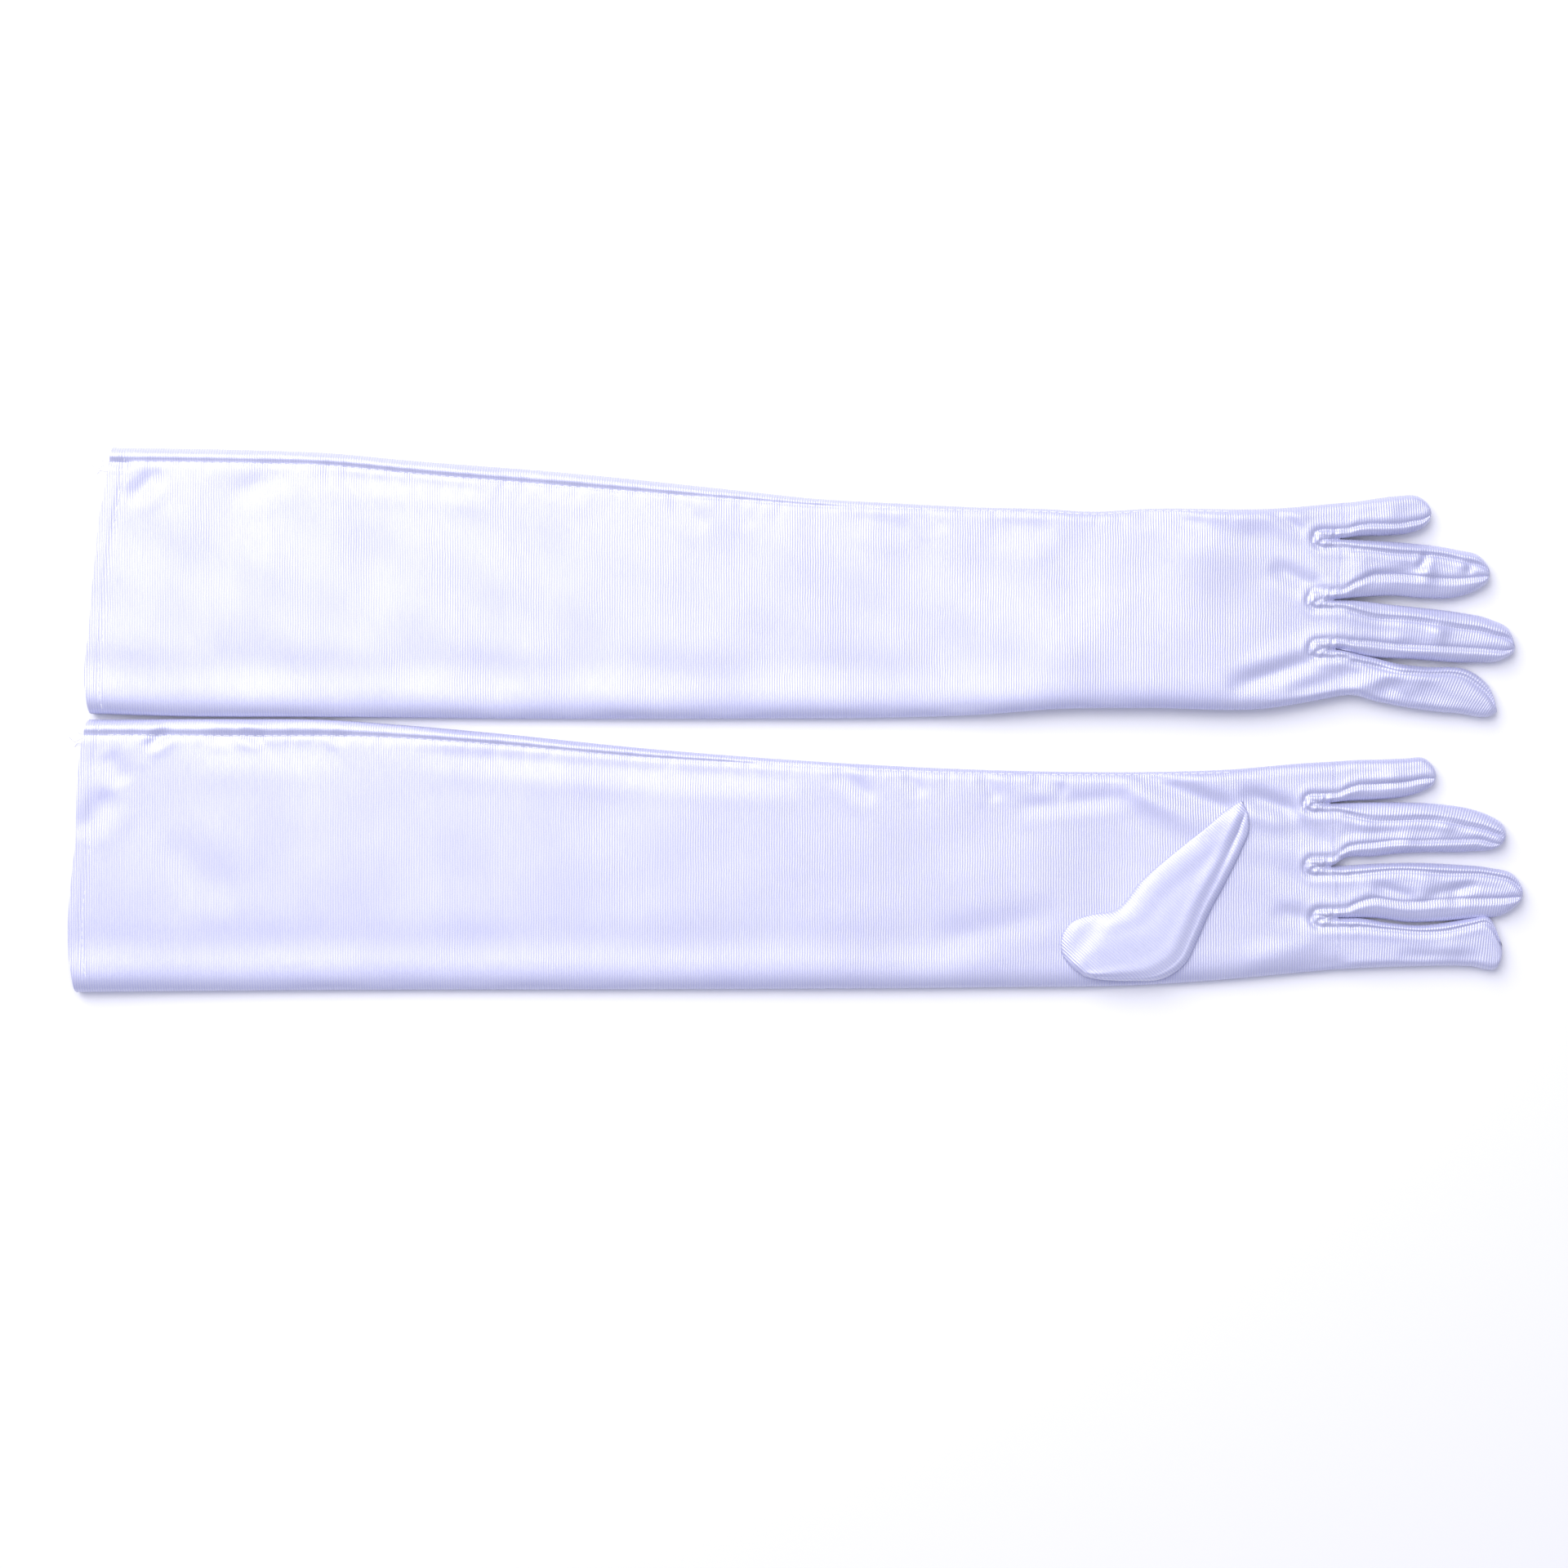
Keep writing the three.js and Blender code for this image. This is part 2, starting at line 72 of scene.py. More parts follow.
# Edges and creases are (along, across) points, smooth curves are drawn through them. "fold" is the
# index-finger side, "seam" the little-finger side and "mouth" the cuff's own line, as (across, along).
# A crotch is where the cloth parts between two fingers. A finger's two edges run from its crotches to
# its tip, and its welts are how far inside those edges the strip of cloth between the fingers is sewn.
# A crease is its two ends, its half-width and its depth, below zero where it stands up. A bump is its
# middle, its half-width and its height. The lip is the line past which a thumb drops to its gusset.
GLOVES = {
    "left": {
        "fold": [
            (0, 1), (28, 0.1), (90, -0.3), (152, -0.85), (245, -0.9), (307, -0.5), (338, 0.5), (369, 2.7),
            (400, 3), (450, 3.3), (462, 5.3), (474, 7.6),
        ],
        "seam": [
            (9, 101.4), (59, 100.6), (90, 99.5), (121, 96.7), (183, 91.8), (245, 85.4), (276, 82.1),
            (307, 80.3), (338, 78.7), (363, 78), (381, 77), (400, 78), (450, 78.1), (474, 80.2),
        ],
        "mouth": [(0, 1), (11, -0.6), (30, 0.9), (61, 3.7), (92, 8.4), (101.5, 9.6)],
        "crotches": [(472.3, 25.2), (471.8, 43.8), (473.9, 66.8)],
        "seam_strip": [
            (0, 5.2), (60, 4.9), (90, 4.6), (183, 4.9), (214, 4.4), (276, 2.6), (338, 1.2), (400, 0.8),
        ],
        "fingers": {
            "index": {
                "lower": [(478, 8), (487, 5.8), (499, 3.4), (518, 1.2), (533.6, 1.1)],
                "upper": [(486, 22), (497, 19.4), (506, 18.4), (524, 16.6), (530.5, 11.5), (534, 2.2)],
                "welts": (None, 2.8),
            },
            "middle": {
                "lower": [(487, 22.4), (500, 21.7), (524, 20.4), (536, 21.4), (540.5, 24.4)],
                "upper": [
                    (479, 43.4), (494, 41.8), (506, 40.6), (519, 39), (531, 36.5), (538.5, 32.6),
                    (540.7, 27),
                ],
                "welts": (5.0, 5.4),
            },
            "ring": {
                "lower": [(482, 45), (494, 45.6), (506, 44.7), (518, 45), (526, 47.6), (530.5, 51)],
                "upper": [(494, 65.6), (506, 64.6), (519, 62.6), (527, 60.5), (530.8, 56)],
                "welts": (8.0, 3.8),
            },
            "little": {
                "lower": [(481, 68), (494, 68.5), (500, 69.2), (506, 71.5), (508.3, 74)],
                "upper": [(479, 80.6), (488, 82), (496, 83), (504, 82.8), (508, 79.6)],
                "welts": (4.1, None),
            },
        },
        "thumb": {
            "lower": [
                (381, 9.6), (386, 7.6), (398, 6.6), (411, 7.6), (420, 13), (428, 22), (437, 34), (446, 46),
                (450.5, 56),
            ],
            "upper": [
                (379, 11), (376, 15), (375, 20), (378, 27), (388, 31), (400, 35), (414, 47), (432, 58),
                (448, 62.5),
            ],
        },
        "creases": [
            (27, 92, 17, 82, 3.2, 0.75), (76, 92, 56, 84, 4.4, 0.45), (88, 91, 150, 85.5, 3.4, 0.45),
            (9, 95.5, 16, 94.4, 1.2, 0.6), (176, 88, 188, 83, 3, 0.4), (222, 82, 234, 72, 3.8, 0.45),
            (246, 80, 251, 72, 3, 0.3), (290, 76, 310, 70, 3.8, 0.4), (318, 77, 323, 70, 3, 0.3),
            (345, 72, 364, 69.5, 5, 0.5), (397, 77, 420, 73.5, 3, 0.55), (412, 72, 446, 66, 4.4, 0.55),
            (398, 79, 426, 76, 2.4, -0.3), (447, 78, 459, 70, 2, 0.6), (446, 80, 461, 71, 4.4, -0.3),
            (449, 55.5, 464, 48.5, 3.2, 1.0), (463, 51, 468, 46, 2.4, 0.5), (434, 11, 464, 21, 3.4, 1.1),
            (440, 18.5, 470, 28.5, 4.4, -0.35), (444, 4, 480, 9.5, 2.2, -0.55),
            (456, 9.5, 480, 17, 3.2, 0.65), (360, 38, 412, 58, 11, 0.55), (380, 36, 452, 46, 13, 0.4),
            (338, 30, 372, 46, 12, -0.35), (480, 10.5, 499, 17.5, 2.6, -0.7),
            (499, 17.5, 531, 4, 2.8, -0.6), (489, 11, 502, 5, 3.2, 0.8), (484, 52, 504, 55.5, 2, 0.55),
            (504, 55, 507, 61, 1.4, 0.8), (496, 27.5, 510, 28, 1.8, 0.45),
        ],
        "bumps": [
            (507, 53.5, 3.2, 1.1), (481, 56, 4.2, 0.6), (511, 31, 3.2, 0.9), (520, 57, 2, 0.5),
            (500, 12, 6, 0.8), (523, 55, 1.6, -0.6), (497, 33.5, 5, 0.4), (493, 76, 4, 0.4),
        ],
        "seed": 3,
    },
    "right": {
        "fold": [(1.5, 0), (96, 0.7), (220, 1), (345, 1.7), (407, 2.7), (438, 4.8), (468, 7.6), (478, 8.5)],
        "seam": [
            (8, 102.9), (65, 103.1), (96, 102.8), (127, 100.6), (158, 97.9), (220, 91.7), (282, 87),
            (313, 85.2), (375, 83.1), (407, 83), (438, 83.9), (468, 86.4), (477, 86.9),
        ],
        "mouth": [(0, 1.6), (10, -0.3), (57, 1.9), (97, 5), (103.5, 6.5)],
        "crotches": [(479.7, 27.9), (477, 47.4), (476.7, 71.4)],
        "seam_strip": [(0, 5.6), (100, 5.6), (116, 5), (220, 3.2), (282, 1.8), (345, 1.2), (407, 0.8)],
        "fingers": {
            "index": {
                "lower": [(490, 9.1), (505, 9.6), (530, 9.7), (539.6, 8.9)],
                "upper": [
                    (487, 27.7), (499, 25.9), (510, 25), (518, 25.6), (531, 27.8), (535.8, 28.5),
                    (540.6, 21),
                ],
                "welts": (None, 2.6),
            },
            "middle": {
                "lower": [(494, 28), (506, 26.5), (518, 26.8), (530, 27.9), (543, 29.6), (548.5, 34)],
                "upper": [(493, 48.2), (512, 48.5), (524, 47.9), (537, 46.7), (546, 44.2), (549.5, 39)],
                "welts": (7.3, 3.0),
            },
            "ring": {
                "lower": [(482, 50.6), (493, 51.3), (500, 52.2), (512, 52.9), (530, 53.2), (539.5, 54.4)],
                "upper": [(500, 71.5), (518, 70.8), (531, 68.7), (537, 66.5), (542.5, 62.5), (543.4, 59)],
                "welts": (4.7, 6.3),
            },
            "little": {
                "lower": [(480, 72.1), (494, 72.9), (500, 73.3), (506, 74.2), (512, 76.2), (515.8, 78.6)],
                "upper": [(488, 87.6), (494, 87.7), (506, 88.2), (512, 88.3), (516.2, 84.5)],
                "welts": (6.8, None),
            },
        },
        "thumb": {
            "lower": [
                (386, 5.1), (390, 4.6), (401, 4.2), (412.5, 5.1), (421.2, 11), (425.5, 19.4), (430, 29.6),
                (436.7, 42.3), (442.6, 54.4), (445.2, 61), (445, 67.5),
            ],
            "upper": [
                (383, 6), (378.5, 9.5), (374.8, 15), (374.6, 20), (378, 25.8), (386, 29.2), (394.2, 30.6),
                (405.3, 42.3), (418.4, 53.5), (430, 62.6), (438, 69.4), (443, 72.2),
            ],
        },
        "creases": [
            (14, 89, 20, 80, 4.2, 0.5), (4, 61, 15, 74, 4.6, 0.65), (38, 55, 60, 36, 7, 0.35),
            (29, 93, 37, 98.5, 2, 0.85), (53, 96.8, 61, 96.4, 2.2, 0.5), (64, 97.8, 72, 95.5, 1.9, 0.8),
            (50, 93.5, 98, 92, 5.5, 0.5), (99, 97.6, 103, 95, 1.8, 0.5), (135, 90.5, 270, 80.5, 4.2, 0.5),
            (290, 83, 303, 74, 3.2, 0.5), (316, 82, 322, 75, 2.6, 0.5), (346, 81, 350, 73, 2.8, 0.5),
            (366, 81, 376, 75, 2.8, 0.45), (404, 82, 442, 68, 3.4, 1.0), (398, 78, 430, 60, 4, -0.6),
            (444, 74.5, 463, 68, 3.2, 1.1), (458, 64, 476, 56, 4.2, 0.65), (440, 68, 462, 63, 4, -0.45),
            (456, 30, 472, 27.5, 3, 0.6), (446, 12, 474, 20, 4, -0.4), (360, 70, 400, 74, 3, 0.4),
            (494, 39.5, 508, 35.5, 1.9, 0.7), (513, 36, 531, 40, 1.9, 0.8), (504, 13.5, 532, 13, 2.2, 0.5),
            (482, 60, 528, 59.5, 2, 0.45), (490, 77, 514, 78, 2, 0.45), (444, 50, 470, 41, 4, 0.3),
            (330, 20, 372, 30, 5, 0.35),
        ],
        "bumps": [
            (505, 57, 4, 0.6), (520, 62, 3, 0.5), (512, 41, 4, 0.5), (524, 36, 3, -0.6), (490, 40, 4, 0.4),
            (500, 81, 4, 0.5), (522, 17, 5, 0.4), (490, 62, 4, 0.4),
        ],
        "lip": [(379.5, 12), (396, 32.5)],
        "seed": 8,
    },
}
SIDES = ("left", "right")  # the upper and the lower glove, seen from above
FINGERS = ("index", "middle", "ring", "little")

FOLD_ROLL = 7.0  # how far the rounded edge of the folded side reaches in
FOLD_STRIP = 7.0  # of the dense columns along the folded side
SEAM_ROLL = 4.2
FINGER_ROLL = 3.2
SLIT = 0.5  # between two fingers where they part
EDGE = 0.15  # keeps a rolled edge from closing to nothing
LOOP_REACH = 7.0  # how far the strip between two fingers reaches into the palm
LOOP_WELT = 3.4  # from the slit to the welt round a crotch
TIP_WELT = 1.8
TIP_ROLL = 4.5
UNDER_ROLL = 3.0  # of the under layer's edges, which is tighter
SLEEVE_UNDER_ROLL = 3.6
TIP_BULGE = 0.16  # of a fingertip past its corners, as a share of its width there
BEND_REACH = 12.0  # of the cloth that bends on each side of an elbow or wrist
FINGER_BEND = 12.0  # of the cloth that bends at a finger's root
HEM_LINE = 5.4  # from the mouth to the stitches of the hem
HEM_PAST_LINE = 0.7
THUMB_ROLL = 3.4  # of the strip beside a thumb's seams
THUMB_LOW_ROLL, THUMB_UP_ROLL, THUMB_END_ROLL = 5.5, 10.0, 8.0
THUMB_TAPER = 1.6  # from a thumb's base to its tip
LIP_DROP = 1.1  # from the thumb down to the gusset sewn in at its base
THUMB_EDGE = 0.9  # height of a thumb's rolled edge
UNDERLAP = 0.12  # between the cloth and the hem turned up inside it
TUCKED = 0.62  # height left of a thumb that the palm lies on
THUMB_CLEAR = 0.3  # between a tucked thumb and the palm on it
PANEL_GAP = 0.3  # between two panels of the model in the frame
PAST_FINGERS = 90.0  # from a crotch to a place past the fingertips
CROTCH_DIP = 2.2
STITCHED_PAST_WRIST = 70.0  # how far the side seam's gathers and stitches go on
WALL_OUT = 0.2  # how far a rolled edge stands out from its two layers

# Bands along an edge, a seam or a welt: their place inside it, their half-width and their height.
FOLD_RIDGE, FOLD_TROUGH = (9.5, 3.4, 0.12), (18, 7, -0.34)
WELT_ROLL, WELT_SHOULDER = (-1.7, 1.1, 0.75), (2.4, 1.6, 0.35)
SEAM_ROLL_UP = (-2.2, 1.3, 0.3)
HEM_DIP = (HEM_LINE, 0.7, -0.4)
TIP_SEAM = (1.1, 0.4, 0.3)
THUMB_RIDGE, THUMB_RIM, THUMB_TROUGH = (3.2, 2.0, 0.3), (-1.9, 1.3, 0.12), (10, 3.6, -0.3)
# Tight grooves where two edges are sewn: their width and their depth.
SEAM_GROOVE, WELT_GROOVE, THUMB_GROOVE = (0.8, 0.95), (0.55, 1.35), (1.1, 0.7)

# How a tucked thumb pushes the cloth up: places past the wrist and shares of its whole lift.
THUMB_PUSH = [(-90, 0), (-60, 0.12), (-4, 0.92), (14, 1), (76, 1), (108, 0.78), (140, 0.32), (172, 0.03)]
PUSH_REACH = 14.0  # of the whole lift, to the side of the thumb
PUSH_SLOPE = 36.0
PUSH_FALL = 0.45

STATION = 1.25  # between rings of the sleeve and the palm
ROOT_STATION = 0.7  # close to the fingers
FINGER_STATION = 0.9
STRIP_COLUMNS = 7  # from a finger's edge to its welt
PANEL_COLUMNS = 13  # between a finger's welts
RISE = 1 - np.cos(np.linspace(0, math.pi / 2, STRIP_COLUMNS + 1))  # how a strip's columns spread out

STITCH_LENGTH = 2.3
STITCH_GAP = 0.8
THREAD_RADIUS = 0.17
THREAD_SIDES = 6
STRAND_RADIUS = 0.11


# ------------------------------------------------------------------ settings

def length_setting(name, description, default, low, high, precision=3):
    return bpy.props.FloatProperty(
        name=name, description=description, default=default, min=low, max=high, unit="LENGTH",
        precision=precision)


def colour_setting(name, description, default):
    return bpy.props.FloatVectorProperty(
        name=name, description=description, default=default, min=0.0, max=1.0, subtype="COLOR")


class GloveSettings(bpy.types.PropertyGroup):
    """Sizes and colours of the gloves' cloth and thread."""

    cloth_thickness: length_setting(
        "Cloth Thickness", "Thickness of the knitted satin", 0.00045, 0.0002, 0.001, 5)
    rib_pitch: length_setting("Rib Pitch", "Distance between two ribs of the knit", 0.00096, 0.0003, 0.003, 5)
    rib_relief: length_setting(
        "Rib Relief", "How far a rib stands up between two grooves", 0.00008, 0.0, 0.0005, 6)
    welt_height: length_setting(
        "Welt Height", "How far the sewn edges beside the fingers stand up", 0.00075, 0.0, 0.002, 5)
    crease_depth: bpy.props.FloatProperty(
        name="Crease Depth", description="Depth of the creases, as a share of those of soft cloth",
        default=1.0, min=0.0, max=2.0, subtype="FACTOR")
    # Satin is the cloth's colour on the crests of the knit; the shade colour is painted shade, put into the
    # grooves between its ribs and loops.
    satin: colour_setting("Satin", "Colour of the cloth where it faces the light", (0.68, 0.695, 0.85))
    satin_deep: colour_setting(
        "Satin Shade", "Colour of the cloth in the grooves of the knit", (0.37, 0.38, 0.73))
    thread: colour_setting("Thread", "Colour of the sewing thread", (0.86, 0.87, 0.98))


class StageSettings(bpy.types.PropertyGroup):
    """The camera, the lights and the floor."""

    view_width: length_setting("View Width", "Width of the floor that the camera sees", 0.5959, 0.1, 3.0)
    view_middle: bpy.props.FloatVectorProperty(
        name="View Middle", description="The spot of the floor under the camera",
        default=(-0.00419, -0.02436), size=2, subtype="XYZ", unit="LENGTH")
    camera_height: length_setting("Camera Height", "Height of the camera above the floor", 1.4, 0.3, 5.0)
    room: colour_setting("Room", "Colour of the light that comes from all round", (0.75, 0.765, 1.0))
    room_strength: bpy.props.FloatProperty(
        name="Room Light", description="Strength of the light that comes from all round",
        default=0.5, min=0.0, max=10.0)
    key_power: bpy.props.FloatProperty(
        name="Key Light", description="Power of the large soft light",
        default=35.0, min=0.0, max=500.0, unit="POWER")
    floor: colour_setting("Floor", "Colour of the floor", (0.9, 0.905, 0.95))


def glove_settings():
    return bpy.context.scene.opera_gloves


# ------------------------------------------------------------------ curves

def curve_through(points, at):
    """Values at the given places of a smooth curve through (place, value) points."""
    x, y = np.array(points, float).T
    slope = np.gradient(y, x)
    at = np.clip(at, x[0], x[-1])
    k = np.clip(np.searchsorted(x, at, side="right") - 1, 0, len(x) - 2)
    step = x[k + 1] - x[k]
    s = (at - x[k]) / step
    return ((1 + 2 * s) * (1 - s) ** 2 * y[k] + s * (1 - s) ** 2 * step * slope[k]
            + s * s * (3 - 2 * s) * y[k + 1] + s * s * (s - 1) * step * slope[k + 1])


def lengths_along(points):
    """The length of a path of points up to each of them."""
    return np.concatenate([[0], np.cumsum(np.linalg.norm(np.diff(points, axis=0), axis=1))])


def path_through(points, shares):
    """Points at the given shares of the length of a smooth path, and that length."""
    points = np.array(points, float)
    marks = lengths_along(points)
    at = np.asarray(shares) * marks[-1]
    placed = [curve_through(np.stack([marks, points[:, i]], 1), at) for i in (0, 1)]
    return np.stack(placed, -1), marks[-1]


def smooth(value):
    value = np.clip(value, 0, 1)
    return value * value * (3 - 2 * value)


def rolled(distance, reach):
    """Height share of cloth that rolls down to its edge, at a distance inside that edge."""
    return np.sqrt(1 - np.clip(1 - distance / reach, 0, 1) ** 2)


def hump(distance, width):
    return np.exp(-((distance / width) ** 2))


def band(distance, shape):
    """Height of a band of cloth that stands up or dips beside a line."""
    place, width, height = shape
    return height * hump(distance - place, width)


def groove(distance, shape):
    width, depth = shape
    return depth * np.exp(-np.abs(distance) / width)


def segment_distance(x, y, start, end):
    """Distance to a segment, and the share of it at which the nearest point of its line lies."""
    (x0, y0), (x1, y1) = start, end
    dx, dy = x1 - x0, y1 - y0
    share = ((x - x0) * dx + (y - y0) * dy) / (dx * dx + dy * dy)
    near = np.clip(share, 0, 1)
    return np.hypot(x - x0 - near * dx, y - y0 - near * dy), share


# ------------------------------------------------------------------ heights of the cloth

@lru_cache(maxsize=None)
def lay(side):
    """A glove's shape, with the sizes and the place of its model in the frame."""
    glove = dict(GLOVES[side])
    low = {}
    for node in ("upper_sleeve", "forearm", "hand", "thumb"):
        low[node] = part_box(f"{side}_{node}")[0] / MM
    high = {node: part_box(f"{side}_{node}")[1] / MM for node in ("upper_sleeve", "thumb")}
    glove["origin"] = np.array([low["upper_sleeve"].x, low["upper_sleeve"].y, 0])
    glove["elbow"] = low["forearm"].x - low["upper_sleeve"].x - PANEL_GAP
    glove["wrist"] = low["hand"].x - low["upper_sleeve"].x - PANEL_GAP
    glove["mouth_height"] = high["upper_sleeve"].z
    glove["thumb_under"] = low["thumb"].z < low["hand"].z
    glove["thumb_height"] = (high["thumb"].z - low["thumb"].z) * (TUCKED if glove["thumb_under"] else 1)
    glove["lift"] = glove["thumb_height"] + THUMB_CLEAR if glove["thumb_under"] else 0.0
    glove["root_line"] = [glove["fold"][-1], *glove["crotches"], glove["seam"][-1]]
    return glove


def resting_height(glove, x, y):
    """Height that the under layer rests at: on the floor, or over a thumb tucked under the palm."""
    if not glove["thumb_under"]:
        return np.zeros_like(x)
    lift, wrist = glove["lift"], glove["wrist"]
    height = lift * curve_through([(0, 0)] + [(wrist + past, share) for past, share in THUMB_PUSH], x)
    base, tip = glove["thumb"]["lower"][0], glove["thumb"]["upper"][-1]
    heading = np.array([tip[0] - base[0], tip[1] - base[1]], float)
    heading /= np.linalg.norm(heading)
    beside = (y - base[1]) * heading[0] - (x - base[0]) * heading[1] - PUSH_REACH
    return np.maximum(height, 0) * (1 - PUSH_FALL * smooth(beside / PUSH_SLOPE))


def cloth_gap(glove, x):
    """Height from the under side of the glove to its upper side."""
    wrist = glove["wrist"]
    return curve_through(
        [(-10, glove["mouth_height"]), (4, glove["mouth_height"]), (40, 7.2), (wrist - 60, 6.9), (wrist, 6.7),
         (wrist + 105, 6.5), (wrist + 175, 6.3), (600, 6.2)], x)


def seam_line(glove, x):
    """How far inside the seam edge the side seam shows."""
    return curve_through(glove["seam_strip"], x)


@lru_cache(maxsize=None)
def puckers(side):
    """Short gathers that the tight thread of the side seam draws into the cloth."""
    glove = lay(side)
    random = np.random.default_rng(glove["seed"])
    made = []
    x = 14.0
    while x < glove["wrist"] + STITCHED_PAST_WRIST:
        y = float(curve_through(glove["seam"], x) - seam_line(glove, x))
        length = random.uniform(4, 9) + 9 * random.random() ** 3
        slant = random.uniform(-0.5, 0.6)
        made.append((x, y + 1, x + slant * length, y - length, random.uniform(1.1, 2.4),
                     random.uniform(0.12, 0.36)))
        x += random.uniform(6, 15)
    return made


@lru_cache(maxsize=None)
def swells(side):
    """Slow swells of cloth that nothing pulls flat: their headings, lengths, phases and heights."""
    random = np.random.default_rng(40 + lay(side)["seed"])
    return [(random.uniform(-1.2, 1.2), random.uniform(24, 80), random.uniform(0, 2 * math.pi),
             random.uniform(0.03, 0.09)) for _ in range(16)]


def relief(side, x, y, depth):
    """What creases, bumps, gathers and slow swells add to the upper layer's height."""
    added = np.zeros_like(x)
    for x0, y0, x1, y1, width, fall in GLOVES[side]["creases"]:
        distance, share = segment_distance(x, y, (x0, y0), (x1, y1))
        fall = fall * smooth((share + 0.25) / 0.5) * smooth((1.25 - share) / 0.5)
        added -= fall * hump(distance, width) - 0.3 * fall * hump(distance - 2 * width, width)
    for x0, y0, x1, y1, width, fall in puckers(side):
        distance, share = segment_distance(x, y, (x0, y0), (x1, y1))
        fall = fall * smooth((share + 0.2) / 0.3) * (1 - smooth(share))
        added -= fall * hump(distance, width * (0.7 + 0.9 * np.clip(share, 0, 1)))
    for bump_x, bump_y, width, height in GLOVES[side]["bumps"]:
        added += 1.3 * height * hump(np.hypot(x - bump_x, y - bump_y), width)
    for heading, length, phase, height in swells(side):
        turn = (x * math.cos(heading) + y * math.sin(heading)) / length
        added += height * np.sin(2 * math.pi * turn + phase)
    return added * depth


def near_crotch(glove, x, y):
    """Distance to the nearest line between two fingers, how deep the cloth dips there, and the angle."""
    nearest = np.full_like(x, 1e3)
    dip = np.full_like(x, 1e3)
    angle = np.zeros_like(x)
    for crotch_x, crotch_y in glove["crotches"]:
        start = (crotch_x - LOOP_REACH, crotch_y)
        distance, share = segment_distance(x, y, start, (crotch_x + PAST_FINGERS, crotch_y))
        reach = share * (PAST_FINGERS + LOOP_REACH) / LOOP_REACH
        closer = distance < nearest
        nearest = np.where(closer, distance, nearest)
        dip = np.where(closer, EDGE + CROTCH_DIP * (1 - smooth(reach)), dip)
        angle = np.where(closer, np.arctan2(y - start[1], start[0] + 3 - x), angle)
    return nearest, dip, angle


def welt(past, height):
    """Cloth beside a welt, at a distance past it: a roll on the strip's side, and a tight groove."""
    return height * (band(past, WELT_ROLL) - groove(past, WELT_GROOVE) + band(past, WELT_SHOULDER))


def sleeve_top(side, x, y, sizes):
    """Height of the upper layer over the sleeve and the palm."""
    welt_height, depth = sizes
    glove = lay(side)
    low = resting_height(glove, x, y)
    half = cloth_gap(glove, x) / 2
    from_fold = np.maximum(y - curve_through(glove["fold"], x), 0)
    from_seam = np.maximum(curve_through(glove["seam"], x) - y, 0)
    nearest, dip, angle = near_crotch(glove, x, y)
    gap = np.hypot(nearest, dip)
    share = (rolled(from_fold + EDGE, FOLD_ROLL) * rolled(from_seam + EDGE, SEAM_ROLL)
             * rolled(gap, LOOP_WELT))
    strip = seam_line(glove, x)
    shown = smooth((strip - 0.8) / 2)
    added = relief(side, x, y, depth)
    added += band(from_fold, FOLD_RIDGE) + band(from_fold, FOLD_TROUGH) * smooth((glove["wrist"] - x) / 90)
    added -= shown * (groove(from_seam - strip, SEAM_GROOVE) - band(from_seam - strip, SEAM_ROLL_UP))
    close = smooth((x - glove["root_line"][1][0] + LOOP_REACH + 12) / 6)
    added += close * welt(nearest - LOOP_WELT, welt_height)
    inside = close * smooth((LOOP_WELT + 0.6 - nearest) / 1.5)
    added += inside * 0.28 * np.sin(9 * angle + 1.3 * nearest)
    hem = x - curve_through(glove["mouth"], y)
    added += band(hem, HEM_DIP) + 0.15 * smooth(hem / 1.5) * smooth(5 - hem)
    held = smooth(np.minimum(from_fold, from_seam) / 2.5) * smooth((gap - 0.1) / 1.2)
    return low + half * (1 + share) + added * held


def under_layer(glove, x, y, share):
    """Height of the under layer, which lies flat on what is below it and rolls up at its edges."""
    return resting_height(glove, x, y) + cloth_gap(glove, x) / 2 * (1 - share)


# ------------------------------------------------------------------ the cloth of a glove

class Cloth:
    """Points in millimetres with their places on the cut cloth, and faces named after their pieces."""

    def __init__(self):
        self.points, self.places, self.faces, self.owners = [], [], [], []
        self.count = 0

    def add(self, points, places):
        points = np.asarray(points, float)
        numbers = np.arange(self.count, self.count + points[..., 0].size).reshape(points.shape[:-1])
        self.points.append(points.reshape(-1, 3))
        self.places.append(np.broadcast_to(places, (*points.shape[:-1], 2)).reshape(-1, 2))
        self.count += numbers.size
        return numbers

    def skin(self, rows, owners):
        """Faces between rows of points. The owners are a name, or a name for each gap between columns."""
        a, b, c, d = rows[:-1, :-1], rows[1:, :-1], rows[1:, 1:], rows[:-1, 1:]
        faces = np.stack([a, b, c, d], -1)
        self.faces.append(faces.reshape(-1, 4))
        self.owners.append(np.broadcast_to(np.array(owners, dtype=object), faces.shape[:2]).reshape(-1))

    def add_face(self, face, owner):
        self.faces.append(np.array([face]))
        self.owners.append(np.array([owner], dtype=object))

    def along(self, numbers):
        """The places along the cut cloth of points by their numbers."""
        return np.concatenate(self.places)[numbers, 0]

    def close(self):
        self.points, self.places = np.concatenate(self.points), np.concatenate(self.places)
        self.faces, self.owners = np.concatenate(self.faces), np.concatenate(self.owners)
        corners = self.points[self.faces]
        across = np.cross(corners[:, 2] - corners[:, 0], corners[:, 3] - corners[:, 1])
        self.normals = np.zeros_like(self.points)
        for i in range(4):
            np.add.at(self.normals, self.faces[:, i], across)
        self.normals /= np.maximum(np.linalg.norm(self.normals, axis=1, keepdims=True), 1e-12)
        return self


def strip_shares(low, high, width):
    """Shares across a panel, dense at both edges, with a column at each strip's inner side."""
    low, high, width = (np.asarray(v, float)[..., None] for v in (low, high, width))
    middle = np.linspace(0, 1, PANEL_COLUMNS + 1)[1:-1]
    left, right = low / width, 1 - high / width
    return np.concatenate(
        [RISE * left, left + (right - left) * middle, (1 - RISE * (1 - right))[..., ::-1]], -1)


